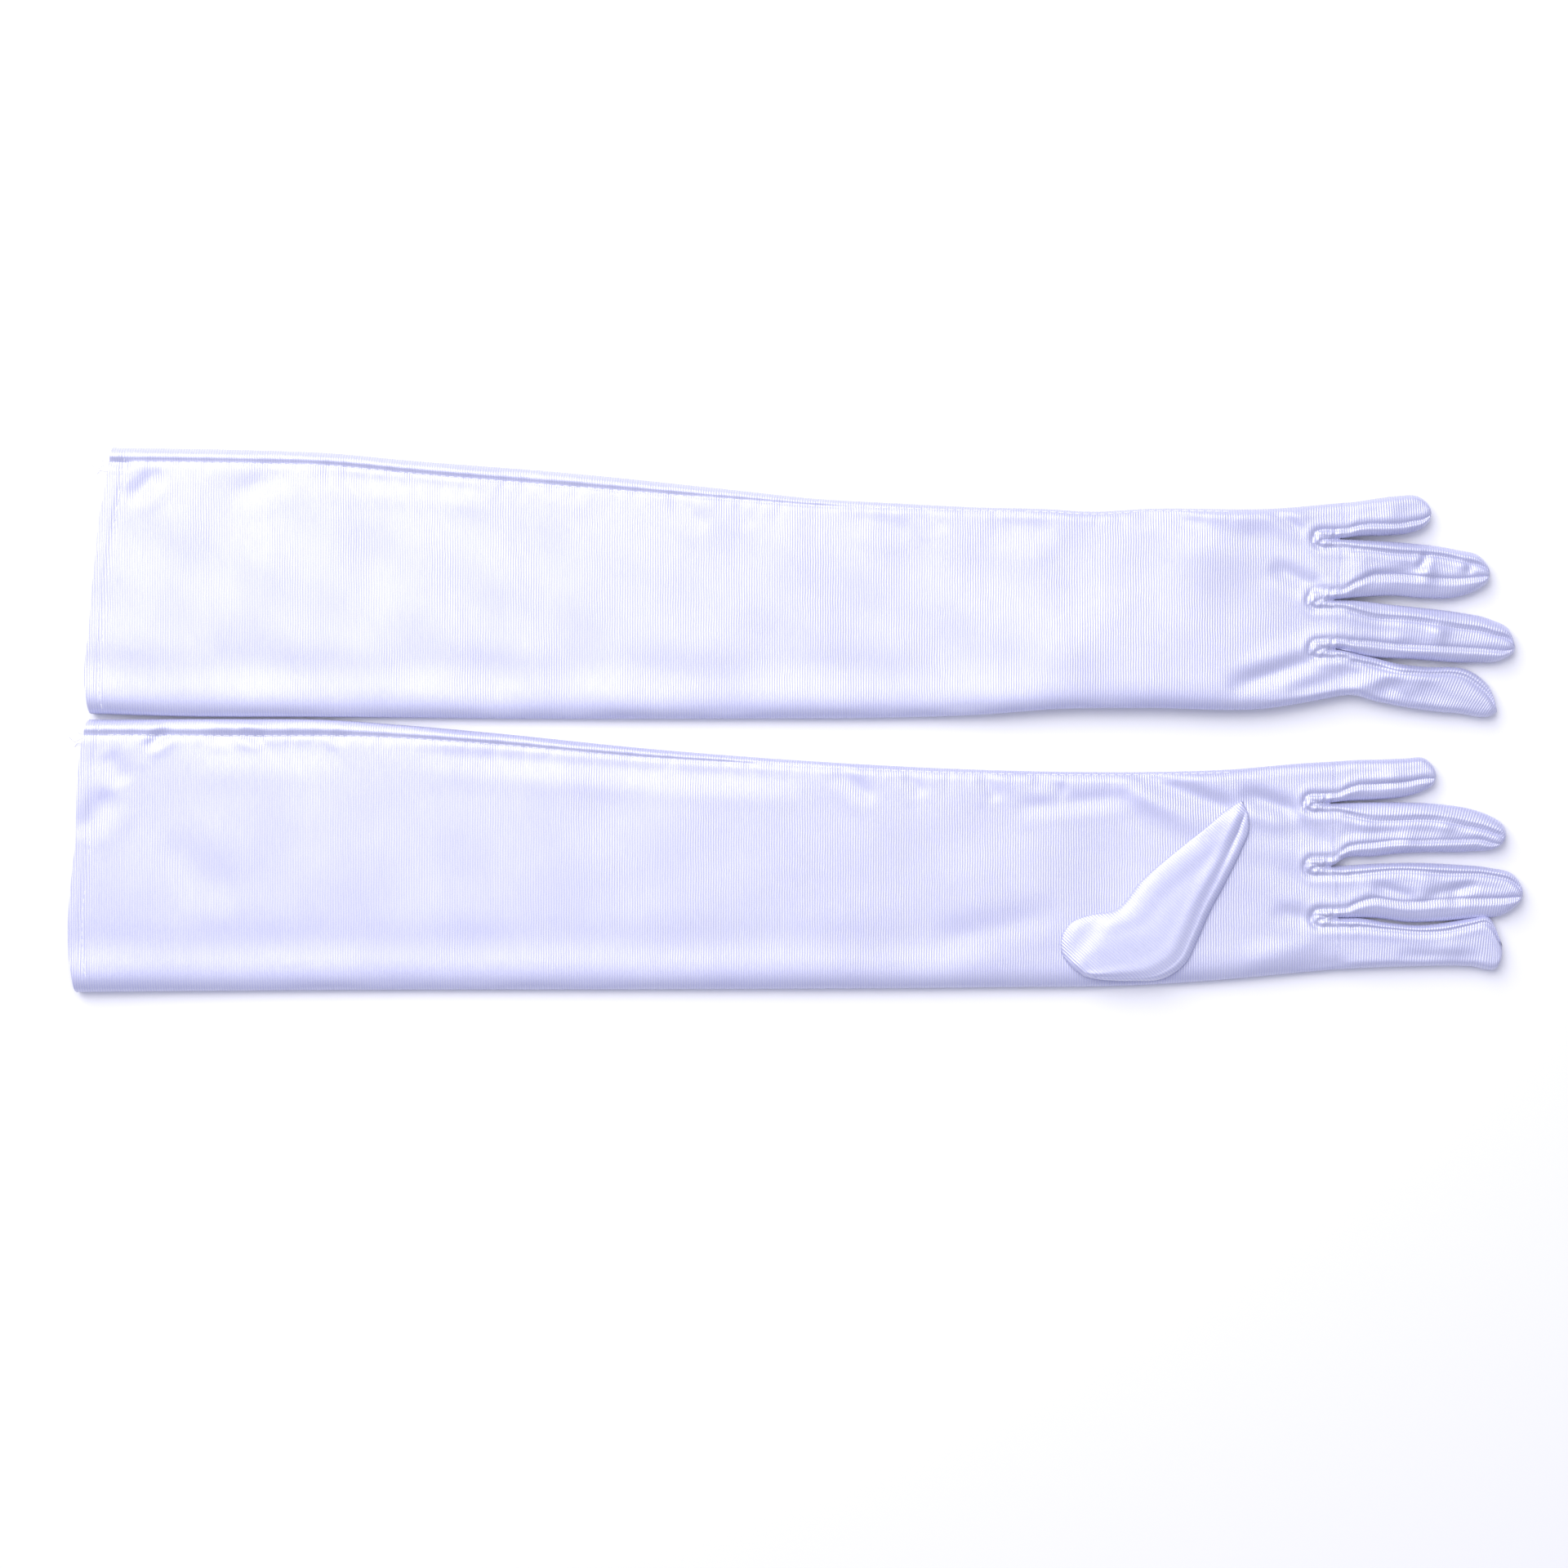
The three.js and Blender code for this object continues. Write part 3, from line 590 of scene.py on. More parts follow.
def finger_edges(glove, name):
    """The lower and the upper edge of a finger, from its crotches to its tip."""
    place = FINGERS.index(name)
    (x0, y0), (x1, y1) = glove["root_line"][place], glove["root_line"][place + 1]
    low = (x0, y0 + (SLIT / 2 if place > 0 else 0))
    high = (x1, y1 - (SLIT / 2 if place < 3 else 0))
    lower, upper = glove["fingers"][name]["lower"], glove["fingers"][name]["upper"]
    gap = np.array(upper[-1], float) - lower[-1]
    wide = np.linalg.norm(gap)
    ahead = np.array([gap[1], -gap[0]]) / wide
    tip = (np.array(lower[-1]) + upper[-1]) / 2 + ahead * TIP_BULGE * wide
    beside = gap / wide * min(0.35, wide / 4)
    return [low, *lower, tuple(tip - beside)], [high, *upper, tuple(tip + beside)]


def welt_inset(welt_place, along, length, width):
    """How far inside a finger's edge its welt runs: it starts at the crotch and closes in at the tip."""
    if welt_place is None:
        wide = np.full_like(along, LOOP_WELT)
    else:
        wide = LOOP_WELT + (welt_place - LOOP_WELT) * smooth(along / 16)
    wide = wide + 0.35 * smooth(along / 20) * np.sin(along / 5.3 + width[0])
    wide = TIP_WELT + (wide - TIP_WELT) * smooth((length - along) / 13)
    return np.minimum(wide, 0.38 * width)


def side_wall(top, under, outward):
    """Two points round a rolled edge, between the upper and the under layer."""
    return np.stack([top + (under - top) * share + np.array(outward) for share in (0.33, 0.67)], -2)


def panel_between(low_edge, up_edge, insets):
    """Points across a finger at each of its stations, their distances to its edges, and the way out."""
    width = np.linalg.norm(up_edge - low_edge, axis=1)
    across = strip_shares(*insets, width)[..., None]
    spot = low_edge[:, None] + (up_edge - low_edge)[:, None] * across
    low_gap, up_gap = across[..., 0] * width[:, None], (1 - across[..., 0]) * width[:, None]
    outward = np.concatenate([(up_edge - low_edge) / width[:, None], np.zeros((len(width), 1))], 1) * WALL_OUT
    return spot[..., 0], spot[..., 1], low_gap, up_gap, outward


def rings_round(x, y, top_height, under_height, outward):
    """Rings of points: the upper layer, the seam side's wall, the under layer back, the fold side's wall."""
    top, under = np.stack([x, y, top_height], -1), np.stack([x, y, under_height], -1)
    seam_wall = side_wall(top[:, -1], under[:, -1], outward)
    fold_wall = side_wall(under[:, 0], top[:, 0], -outward)
    return np.concatenate([top, seam_wall, under[:, ::-1], fold_wall], 1)


def finger_owners(side, name):
    """The piece that each gap between two columns of a finger belongs to, round the finger."""
    place = FINGERS.index(name)
    panel = f"{side}_{name}_finger"
    fold_side = f"{side}_{name}_fourchette_fold_side" if place > 0 else panel
    seam_side = f"{side}_{name}_fourchette_seam_side" if place < 3 else panel
    layer = [fold_side] * STRIP_COLUMNS + [panel] * PANEL_COLUMNS + [seam_side] * STRIP_COLUMNS
    return layer + [seam_side] * 3 + layer[::-1] + [fold_side] * 3


def add_finger(cloth, side, name, root, sizes):
    """A finger's rings of points from its root to its tip. The root is the palm's ring of its columns."""
    welt_height, depth = sizes
    glove = lay(side)
    lower, upper = finger_edges(glove, name)
    welts = glove["fingers"][name]["welts"]
    length = path_through(lower, [1.0])[1]
    rows = int(length / FINGER_STATION)
    share = np.linspace(0, 1, rows + 1)[1:]
    share = share + 0.04 * np.sin(math.pi * share) * share
    share /= share[-1]
    low_edge, up_edge = path_through(lower, share)[0], path_through(upper, share)[0]
    along = share * length
    width = np.linalg.norm(up_edge - low_edge, axis=1)
    insets = [welt_inset(place, along, length, width) for place in welts]
    x, y, low_gap, up_gap, outward = panel_between(low_edge, up_edge, insets)
    tip_gap = (length - along)[:, None] + 0 * x
    low_roll, up_roll = (
        FINGER_ROLL if place is None else np.maximum(FINGER_ROLL, 0.75 * inset)[:, None]
        for place, inset in zip(welts, insets))
    rounded = (rolled(low_gap + EDGE, low_roll) * rolled(up_gap + EDGE, up_roll)
               * rolled(tip_gap + 2 * EDGE, TIP_ROLL))
    added = relief(side, x, y, depth)
    gather = 1 + 0.4 * (np.sin(along / 0.42 + 3 * np.sin(along / 1.9)) * smooth((16 - along) / 12))[:, None]
    fade = smooth(tip_gap / 6)
    for gap, inset, welt_place in ((low_gap, insets[0], welts[0]), (up_gap, insets[1], welts[1])):
        if welt_place is not None:
            added += fade * gather * welt(gap - inset[:, None], welt_height)
    border = np.minimum(np.minimum(low_gap, up_gap), tip_gap)
    added += welt_height * smooth((16 - tip_gap) / 8) * band(border, TIP_SEAM)
    held = smooth(border / 1.6)
    half = cloth_gap(glove, x) / 2
    formed = resting_height(glove, x, y) + half * (1 + rounded) + added * held
    start = smooth(along / 8)[:, None]
    height = start * formed + (1 - start) * sleeve_top(side, x, y, sizes)
    under_share = (rolled(low_gap + EDGE, UNDER_ROLL) * rolled(up_gap + EDGE, UNDER_ROLL)
                   * rolled(tip_gap + 2 * EDGE, 3.5))
    ring = rings_round(x, y, height, under_layer(glove, x, y, under_share), outward)
    around = np.broadcast_to(lengths_along(ring[rows // 3]), ring.shape[:2])
    places = np.stack([cloth.along(root)[None, :] + along[:, None], around], -1)
    numbers = np.concatenate([root[None], cloth.add(ring, places)])
    cloth.skin(np.concatenate([numbers, numbers[:, :1]], 1), finger_owners(side, name))
    close_ring(cloth, numbers[-1], x.shape[1], finger_owners(side, name))


def close_ring(cloth, ring, columns, owners, backwards=False):
    """Faces that close the end of a flat ring of the points that rings_round gives."""
    upper, under = ring[:columns], ring[columns + 2:2 * columns + 2][::-1]
    seam_end, fold_end = ring[columns:columns + 2], ring[2 * columns + 2:]
    faces = [(upper[j], under[j], under[j + 1], upper[j + 1]) for j in range(columns - 1)]
    faces.append((under[-1], seam_end[1], seam_end[0], upper[-1]))
    faces.append((upper[0], fold_end[1], fold_end[0], under[0]))
    names = list(owners[:columns - 1]) + [owners[columns - 2], owners[0]]
    for face, name in zip(faces, names):
        cloth.add_face(face[::-1] if backwards else face, name)


def station_lines(glove, mouth, root_x):
    """Lines of places along the glove, from its mouth to its fingers' roots, with the piece after each."""
    lines, pieces = [mouth], []
    for target, piece, step in (
            (np.full_like(mouth, glove["elbow"] - BEND_REACH), "upper_sleeve", STATION),
            (np.full_like(mouth, glove["wrist"] - BEND_REACH), "forearm", STATION),
            (root_x - 24, "hand", STATION),
            (root_x, "hand", ROOT_STATION)):
        start = lines[-1]
        count = int(np.ceil(np.mean(target - start) / step))
        for i in range(1, count + 1):
            lines.append(start + (target - start) * i / count)
            pieces.append(piece)
    return np.array(lines), pieces


def spread_columns(glove, x, width, root_share):
    """Every column's share across the sleeve: dense at both edges, and the fingers' own at their roots."""
    first, last = STRIP_COLUMNS, len(root_share) - 1 - STRIP_COLUMNS
    core = (root_share[first:last + 1] - root_share[first]) / (root_share[last] - root_share[first])
    core = 0.5 * core + 0.5 * np.linspace(0, 1, len(core))
    left = (FOLD_STRIP / width)[:, None]
    strip = (np.maximum(seam_line(glove, x), 2.5) / width)[:, None]
    spread = np.concatenate(
        [RISE[:-1] * left, left + (1 - strip - left) * core, (1 - RISE * strip)[:, ::-1][:, 1:]], 1)
    nearly = smooth((x - x[-1] + 45) / 45)[:, None]
    return spread * (1 - nearly) + root_share * nearly


@lru_cache(maxsize=None)
def glove_cloth(side, sizes):
    """The whole cloth of a glove but its thumb."""
    glove = lay(side)
    cloth = Cloth()
    root, spans = [], []
    for name in FINGERS:
        lower, upper = (np.array(edge[0], float) for edge in finger_edges(glove, name))
        shares = strip_shares(LOOP_WELT, LOOP_WELT, upper[1] - lower[1])[:, None]
        spans.append((len(root), len(root) + len(shares)))
        root.extend(lower + (upper - lower) * shares)
    root_x, root_y = np.array(root).T
    root_share = (root_y - root_y[0]) / (root_y[-1] - root_y[0])
    mouth_low, mouth_high = glove["mouth"][0][0], glove["mouth"][-1][0]
    mouth = curve_through(
        glove["mouth"], mouth_low + (mouth_high - mouth_low) * np.linspace(0, 1, len(root_share)))
    x, pieces = station_lines(glove, mouth, root_x)
    fold, seam = curve_through(glove["fold"], x), curve_through(glove["seam"], x)
    middle = x.mean(1)
    share = spread_columns(glove, middle, (seam - fold).mean(1), root_share)
    y = fold + (seam - fold) * share
    y[-1] = root_y
    nearest, dip, _ = near_crotch(glove, x, y)
    under_share = (rolled(y - fold + EDGE, SLEEVE_UNDER_ROLL) * rolled(seam - y + EDGE, SLEEVE_UNDER_ROLL)
                   * rolled(np.hypot(nearest, dip), LOOP_WELT))
    under_height = under_layer(glove, x, y, under_share)
    ring = rings_round(x, y, sleeve_top(side, x, y, sizes), under_height, np.array((0, 1.1 * WALL_OUT, 0)))
    columns = x.shape[1]
    places = np.stack([ring[..., 0], np.broadcast_to(lengths_along(ring[0]), ring.shape[:2])], -1)
    numbers = cloth.add(ring, places)
    closed = np.concatenate([numbers, numbers[:, :1]], 1)
    for piece in ("upper_sleeve", "forearm", "hand"):
        rows = [i for i, owner in enumerate(pieces) if owner == piece]
        cloth.skin(closed[rows[0]:rows[-1] + 2], f"{side}_{piece}")
    last = numbers[-1]
    layers = slice(columns), slice(2 * columns + 1, columns + 1, -1)
    (upper_row, under_row), (top, under) = ([row[layer] for layer in layers] for row in (last, ring[-1]))
    walls = [last[2 * columns + 2:]]
    for place in range(3):
        here, there = spans[place][1] - 1, spans[place + 1][0]
        near, far = (cloth.add(side_wall(top[column], under[column], (0, outward, 0)), places[-1, column])
                     for column, outward in ((here, 0.08), (there, -0.08)))
        a = [upper_row[here], near[0], near[1], under_row[here]]
        b = [upper_row[there], far[0], far[1], under_row[there]]
        for i in range(3):
            cloth.add_face((a[i], a[i + 1], b[i + 1], b[i]), f"{side}_hand")
        walls.append((near, far[::-1]))
    for place, name in enumerate(FINGERS):
        first, end = spans[place]
        seam_pair = walls[place + 1][0] if place < 3 else last[columns:columns + 2]
        fold_pair = walls[place][1] if place > 0 else walls[0]
        finger_root = np.concatenate([upper_row[first:end], seam_pair, under_row[first:end][::-1], fold_pair])
        add_finger(cloth, side, name, finger_root, sizes)
    return cloth.close()


# ------------------------------------------------------------------ the thumb

def thumb_axes(glove):
    """Directions along a thumb and across it."""
    base = (np.array(glove["thumb"]["lower"][2]) + glove["thumb"]["upper"][3]) / 2
    tip = np.array(glove["thumb"]["upper"][-1], float)
    axis = (tip - base) / np.linalg.norm(tip - base)
    return axis, np.array([-axis[1], axis[0]])


@lru_cache(maxsize=None)
def thumb_cloth(side, sizes):
    """A thumb: a flat cone of cloth that lies over the palm or tucked under it."""
    depth = sizes[1]
    glove = lay(side)
    cloth = Cloth()
    axis, side_axis = thumb_axes(glove)
    length = path_through(glove["thumb"]["lower"], [1.0])[1]
    share = np.linspace(0, 1, int(length / FINGER_STATION))
    share = smooth(share) * 0.35 + share * 0.65
    low_edge = path_through(glove["thumb"]["lower"], share)[0]
    up_edge = path_through(glove["thumb"]["upper"], share)[0]
    along = share * length
    width = np.linalg.norm(up_edge - low_edge, axis=1)
    inset = np.minimum(THUMB_ROLL, 0.3 * width)
    x, y, low_gap, up_gap, outward = panel_between(low_edge, up_edge, (inset, inset))
    end_gap = np.minimum(along, 1.5 * (length - along))[:, None] + 2 * EDGE + 0 * x
    if glove["thumb_under"]:
        floor = np.zeros_like(x)
        crown = glove["thumb_height"] - THUMB_CLEAR
    else:
        floor = np.maximum(sleeve_top(side, x, y, sizes), 5.4) + 0.15
        crown = 7.0 + glove["thumb_height"] * 0.6
    crown = crown - THUMB_TAPER * smooth((along - 20) / (length - 20))[:, None]
    rounded = (rolled(low_gap + EDGE, THUMB_LOW_ROLL) * rolled(up_gap + EDGE, THUMB_UP_ROLL)
               * rolled(end_gap, THUMB_END_ROLL))
    body = smooth(end_gap / 9)
    strip = inset[:, None] * 1.15
    added = body * (band(low_gap - strip, THUMB_RIDGE) + band(low_gap - strip, THUMB_RIM)
                    + band(up_gap, THUMB_TROUGH) - groove(low_gap - strip, THUMB_GROOVE))
    if not glove["thumb_under"]:
        (ax, ay), (bx, by) = glove["lip"]
        beyond = ((bx - ax) * (y - ay) - (by - ay) * (x - ax)) / math.hypot(bx - ax, by - ay)
        crown = crown - LIP_DROP * smooth(beyond / 4.5 + 0.5)
    held = smooth(np.minimum(low_gap, up_gap) / 1.6)
    edge = floor + THUMB_EDGE
    height = edge + (crown - edge) * rounded + added * held * depth
    under_share = (rolled(low_gap + EDGE, UNDER_ROLL) * rolled(up_gap + EDGE, UNDER_ROLL)
                   * rolled(end_gap, UNDER_ROLL))
    ring = rings_round(x, y, height, floor + (1 - under_share) * THUMB_EDGE * 0.4, outward)
    places = np.stack([ring[..., :2] @ axis, ring[..., :2] @ side_axis], -1)
    numbers = cloth.add(ring, places)
    name = f"{side}_thumb"
    cloth.skin(np.concatenate([numbers, numbers[:, :1]], 1), name)
    owners = [name] * x.shape[1]
    close_ring(cloth, numbers[-1], x.shape[1], owners)
    close_ring(cloth, numbers[0], x.shape[1], owners, backwards=True)
    return cloth.close()


# ------------------------------------------------------------------ pieces

def new_piece(name, points, faces, normals, places, material):
    """A mesh object at the origin, from points in metres, with its own normals and its place on the cloth."""
    mesh = bpy.data.meshes.new(name)
    mesh.from_pydata(points.tolist(), [], faces.tolist() if hasattr(faces, "tolist") else faces)
    loops = np.zeros(len(mesh.loops), np.int32)
    mesh.loops.foreach_get("vertex_index", loops)
    layer = mesh.uv_layers.new(name="cloth")
    layer.data.foreach_set("uv", places[loops].astype(np.float32).ravel())
    mesh.shade_smooth()
    if normals is not None:
        mesh.normals_split_custom_set_from_vertices(normals.tolist())
    mesh.materials.append(material)
    piece = bpy.data.objects.new(name, mesh)
    bpy.context.scene.collection.objects.link(piece)
    return piece


def cut_out(name, cloth, side, chosen, material, depth):
    """A piece of cloth with its thickness: its outer side, its inner side and the cut edges between them."""
    used, faces = np.unique(chosen, return_inverse=True)
    faces = faces.reshape(-1, 4)
    count = len(used)
    points, normals, places = cloth.points[used], cloth.normals[used], cloth.places[used]
    outer = points - normals * depth[0]
    inner = points - normals * depth[1]
    edges = np.concatenate([faces[:, [i, (i + 1) % 4]] for i in range(4)])
    key = edges[:, 0] * count + edges[:, 1]
    open_edges = edges[~np.isin(key, edges[:, 1] * count + edges[:, 0])]
    rim = np.concatenate([open_edges[:, ::-1], open_edges + count], 1)
    whole = np.concatenate([faces, faces[:, ::-1] + count, rim])
    world = (np.concatenate([outer, inner]) + lay(side)["origin"]) * MM
    return new_piece(name, world, whole, np.concatenate([normals, -normals]),
                     np.concatenate([places, places]) * MM, material)


def move_with(piece, body, node):
    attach(piece, body)
    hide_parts(node)


def bend_with(piece, before, after, start, end, node, slot):
    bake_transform(piece)
    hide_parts(node)


def world_point(side, along, across, height=0.0):
    return tuple(float(v) for v in (np.array([along, across, height]) + lay(side)["origin"]) * MM)


def bend_between(side, joint):
    """Where the cloth starts and ends bending at an elbow or a wrist."""
    place = lay(side)[joint]
    return world_point(side, place - BEND_REACH, 50), world_point(side, place + BEND_REACH, 50)


def finger_bend(side, name):
    """Where a finger's cloth starts and ends bending: from its whole root line to a little past it."""
    glove = lay(side)
    lower, upper = (np.array(edge, float) for edge in map(list, finger_edges(glove, name)))
    heading = (lower[-1] + upper[-1]) / 2 - (lower[0] + upper[0]) / 2
    heading /= np.linalg.norm(heading)
    middle = (lower[0] + upper[0]) / 2
    ahead = max((lower[0] - middle) @ heading, (upper[0] - middle) @ heading)
    start = middle + heading * ahead
    end = start + heading * FINGER_BEND
    return world_point(side, *start), world_point(side, *end)


# ------------------------------------------------------------------ thread

def thread_tube(middle, heading, up, girths, flatness=1.0):
    """Points and faces of a tube along points, with its heading and its girth at each of them."""
    heading = heading / np.linalg.norm(heading, axis=1, keepdims=True)
    aside = np.cross(up, heading)
    aside /= np.linalg.norm(aside, axis=1, keepdims=True)
    above = np.cross(heading, aside)
    turns = np.arange(THREAD_SIDES)[:, None] * 2 * math.pi / THREAD_SIDES
    points = middle[:, None] + girths[:, None, None] * (
        flatness * np.cos(turns) * aside[:, None] + np.sin(turns) * above[:, None])
    faces = []
    for ring in range(0, (len(middle) - 1) * THREAD_SIDES, THREAD_SIDES):
        for i in range(THREAD_SIDES):
            a, b = ring + i, ring + (i + 1) % THREAD_SIDES
            faces.append((a, b, b + THREAD_SIDES, a + THREAD_SIDES))
    faces.append(tuple(reversed(range(THREAD_SIDES))))
    faces.append(tuple((len(middle) - 1) * THREAD_SIDES + i for i in range(THREAD_SIDES)))
    return points.reshape(-1, 3), faces


def thread_piece(name, tubes):
    """One piece of thread from the points, in the frame's millimetres, and the faces of its tubes."""
    points, faces, count = [], [], 0
    for tube_points, tube_faces in tubes:
        faces.extend(tuple(count + i for i in face) for face in tube_faces)
        points.append(tube_points)
        count += len(tube_points)
    points = np.concatenate(points) * MM
    return new_piece(name, points, faces, None, points[:, :2], thread_material())


def thread_run(name, side, spots):
    """Stitches of thread, each a rounded bar lying on the cloth. A spot is its middle, heading and up."""
    shares = np.array([-0.5, -0.32, 0.32, 0.5])[:, None]
    girths = np.array([0.3, 1.0, 1.0, 0.3]) * THREAD_RADIUS
    tubes = []
    for middle, heading, up in spots:
        heading = heading / np.linalg.norm(heading)
        bar = middle + lay(side)["origin"] + heading * shares * STITCH_LENGTH
        tubes.append(thread_tube(bar, np.broadcast_to(heading, bar.shape), up, girths, 1.25))
    return thread_piece(name, tubes)


def on_cloth(side, x, y, sizes):
    return float(sleeve_top(side, np.array([x]), np.array([y]), sizes)[0])


def seam_spots(side, begin, end, sizes):
    """Stitches that show in the groove of the side seam."""
    glove = lay(side)
    spots = []
    x = begin + STITCH_LENGTH
    while x < end - STITCH_LENGTH:
        ends = []
        for place in (x - 0.6, x + 0.6):
            y = float(curve_through(glove["seam"], place) - seam_line(glove, place))
            ends.append(np.array([place, y, on_cloth(side, place, y, sizes) - 0.02]))
        spots.append(((ends[0] + ends[1]) / 2, ends[1] - ends[0], np.array([0, 0, 1.0])))
        x += STITCH_LENGTH + STITCH_GAP
    return spots


def hem_spots(side, sizes):
    """Stitches of the hem, on the upper and on the under layer."""
    glove = lay(side)
    spots = []
    y = glove["mouth"][0][0] + 3.5
    while y < glove["mouth"][-1][0] - 3.5:
        ends = []
        for place in (y - 0.6, y + 0.6):
            x = float(curve_through(glove["mouth"], place)) + HEM_LINE
            ends.append(np.array([x, place, on_cloth(side, x, place, sizes) + 0.04]))
        spots.append(((ends[0] + ends[1]) / 2, ends[1] - ends[0], np.array([0, 0, 1.0])))
        under = [end * (1, 1, 0) + (0, 0, THREAD_RADIUS) for end in ends]
        spots.append(((under[0] + under[1]) / 2, under[1] - under[0], np.array([0, 0, -1.0])))
        y += STITCH_LENGTH + STITCH_GAP
    return spots


def loose_strand(path):
    """A fine strand along a smooth path of points."""
    path = np.array(path, float)
    marks = np.linspace(0, 1, len(path))
    at = np.linspace(0, 1, 5 * len(path))
    middle = np.stack([curve_through(np.stack([marks, path[:, i]], 1), at) for i in range(3)], -1)
    girths = np.full(len(middle), STRAND_RADIUS)
    points, faces = thread_tube(middle, np.gradient(middle, axis=0), (0, 0, 1.0), girths)
    points[:, 2] += max(0.0, 0.04 - points[:, 2].min())
    return points, faces


# ------------------------------------------------------------------ materials

# How much of the colour comes from the ribs and from their loops, as painted shade that darkens the knit's
# grooves, and from slow patches of random tone.
RIB_SHADE, LOOP_SHADE, BLOTCH_TONE = 0.36, 0.6, 0.35
SATIN_FINISH = {
    "Specular IOR Level": 0.6, "Metallic": 0.2, "Coat Weight": 0.6, "Coat IOR": 2.3, "Coat Roughness": 0.38,
    "Sheen Weight": 0.25, "Sheen Roughness": 0.35, "Sheen Tint": (0.93, 0.94, 1.0, 1),
}


def shader_node(tree, kind, **inputs):
    """A new node. Inputs are numbered sockets, as _0, or named ones; a value is a link or a number."""
    made = tree.nodes.new(kind)
    for key, value in inputs.items():
        if key.startswith("_"):
            socket = made.inputs[int(key[1:])]
        elif key in {s.name.lower().replace(" ", "_") for s in made.inputs}:
            socket = next(s for s in made.inputs if s.name.lower().replace(" ", "_") == key)
        else:
            setattr(made, key, value)
            continue
        if isinstance(value, bpy.types.NodeSocket):
            tree.links.new(value, socket)
        else:
            socket.default_value = value
    return made


def arithmetic(tree, operation, first, second=0.0):
    return shader_node(tree, "ShaderNodeMath", operation=operation, _0=first, _1=second).outputs[0]


def mixed_colour(tree, share, first, second):
    """A colour that runs from the first to the second."""
    mix = shader_node(tree, "ShaderNodeMix", data_type="RGBA", _0=share, _6=(*first, 1), _7=(*second, 1))
    return mix.outputs[2]


def blank_material(name):
    material = bpy.data.materials.new(name)
    material.use_nodes = True
    tree = material.node_tree
    return material, tree, tree.nodes["Principled BSDF"]


@lru_cache(maxsize=None)
def satin_material():
    """Stretch satin: fine ribs across each piece's length, with a soft sheen. Its colour is darker in the
    grooves of the ribs and loops, which is painted shade, and varies in slow patches of random tone.
    """
    settings = glove_settings()
    material, tree, shader = blank_material("satin")
    place = shader_node(tree, "ShaderNodeUVMap", uv_map="cloth").outputs[0]
    split = shader_node(tree, "ShaderNodeSeparateXYZ", vector=place)
    wander = shader_node(tree, "ShaderNodeTexNoise", vector=place, scale=90.0, detail=2.0).outputs[0]
    turns = arithmetic(tree, "MULTIPLY", split.outputs[0], 2 * math.pi / settings.rib_pitch)
    turns = arithmetic(tree, "ADD", turns, arithmetic(tree, "MULTIPLY", wander, 5.0))
    rib = arithmetic(tree, "MULTIPLY_ADD", arithmetic(tree, "SINE", turns), 0.5)
    tree.nodes[-1].inputs[2].default_value = 0.5
    stretched = shader_node(tree, "ShaderNodeVectorMath", operation="MULTIPLY", _0=place,
                            _1=(1.0, 2.2, 1.0)).outputs[0]
    loops = shader_node(tree, "ShaderNodeTexNoise", vector=stretched, scale=1700.0, detail=2.0).outputs[0]
    height = arithmetic(tree, "ADD", rib, arithmetic(tree, "MULTIPLY", loops, 0.9))
    bump = shader_node(tree, "ShaderNodeBump", height=height, strength=1.0, distance=settings.rib_relief)
    blotch = shader_node(tree, "ShaderNodeTexNoise", vector=place, scale=26.0, detail=3.0).outputs[0]
    # Painted shade: the colour darkens where the ribs and loops dip, and slow patches of random tone are
    # added.
    groove_shade_and_tone = arithmetic(tree, "ADD", arithmetic(tree, "MULTIPLY", rib, RIB_SHADE),
                       arithmetic(tree, "MULTIPLY", loops, LOOP_SHADE))
    groove_shade_and_tone = arithmetic(tree, "ADD", groove_shade_and_tone, arithmetic(tree, "MULTIPLY", blotch, BLOTCH_TONE))
    groove_shade_and_tone = arithmetic(tree, "SUBTRACT", groove_shade_and_tone, 0.1)
    colour = mixed_colour(tree, groove_shade_and_tone, settings.satin_deep, settings.satin)
    rough = arithmetic(tree, "SUBTRACT", 0.47, arithmetic(tree, "MULTIPLY", rib, 0.12))
    tree.links.new(colour, shader.inputs["Base Color"])
    tree.links.new(rough, shader.inputs["Roughness"])
    tree.links.new(bump.outputs[0], shader.inputs["Normal"])
    tree.links.new(bump.outputs[0], shader.inputs["Coat Normal"])
    for finish, value in SATIN_FINISH.items():
        shader.inputs[finish].default_value = value
    return material


@lru_cache(maxsize=None)
def thread_material():
    """Twisted sewing thread. Its colour is darker in the grooves of its twist, which is painted shade."""
    settings = glove_settings()
    material, tree, shader = blank_material("sewing_thread")
    place = shader_node(tree, "ShaderNodeTexCoord").outputs["Object"]
    twist = shader_node(tree, "ShaderNodeTexWave", vector=place, scale=700.0, distortion=1.5,
                        bands_direction="DIAGONAL").outputs[1]
    bump = shader_node(tree, "ShaderNodeBump", height=twist, strength=0.6, distance=0.00006)
    # Painted shade: the thread's colour is darker where its twist dips.
    colour = mixed_colour(tree, twist, [0.8 * v for v in settings.thread], settings.thread)
    tree.links.new(colour, shader.inputs["Base Color"])
    tree.links.new(bump.outputs[0], shader.inputs["Normal"])
    shader.inputs["Roughness"].default_value = 0.6
    shader.inputs["Sheen Weight"].default_value = 0.2
    return material


# ------------------------------------------------------------------ operators

def relief_sizes():
    settings = glove_settings()
    return settings.welt_height / MM, settings.crease_depth


def panel(side, node, source):
    """The part of a glove's cloth that stands for a node of its model."""
    thickness = glove_settings().cloth_thickness / MM
    chosen = source.faces[source.owners == f"{side}_{node}"]
    return cut_out(f"{side}_{node}_satin", source, side, chosen, satin_material(), (0.0, thickness))


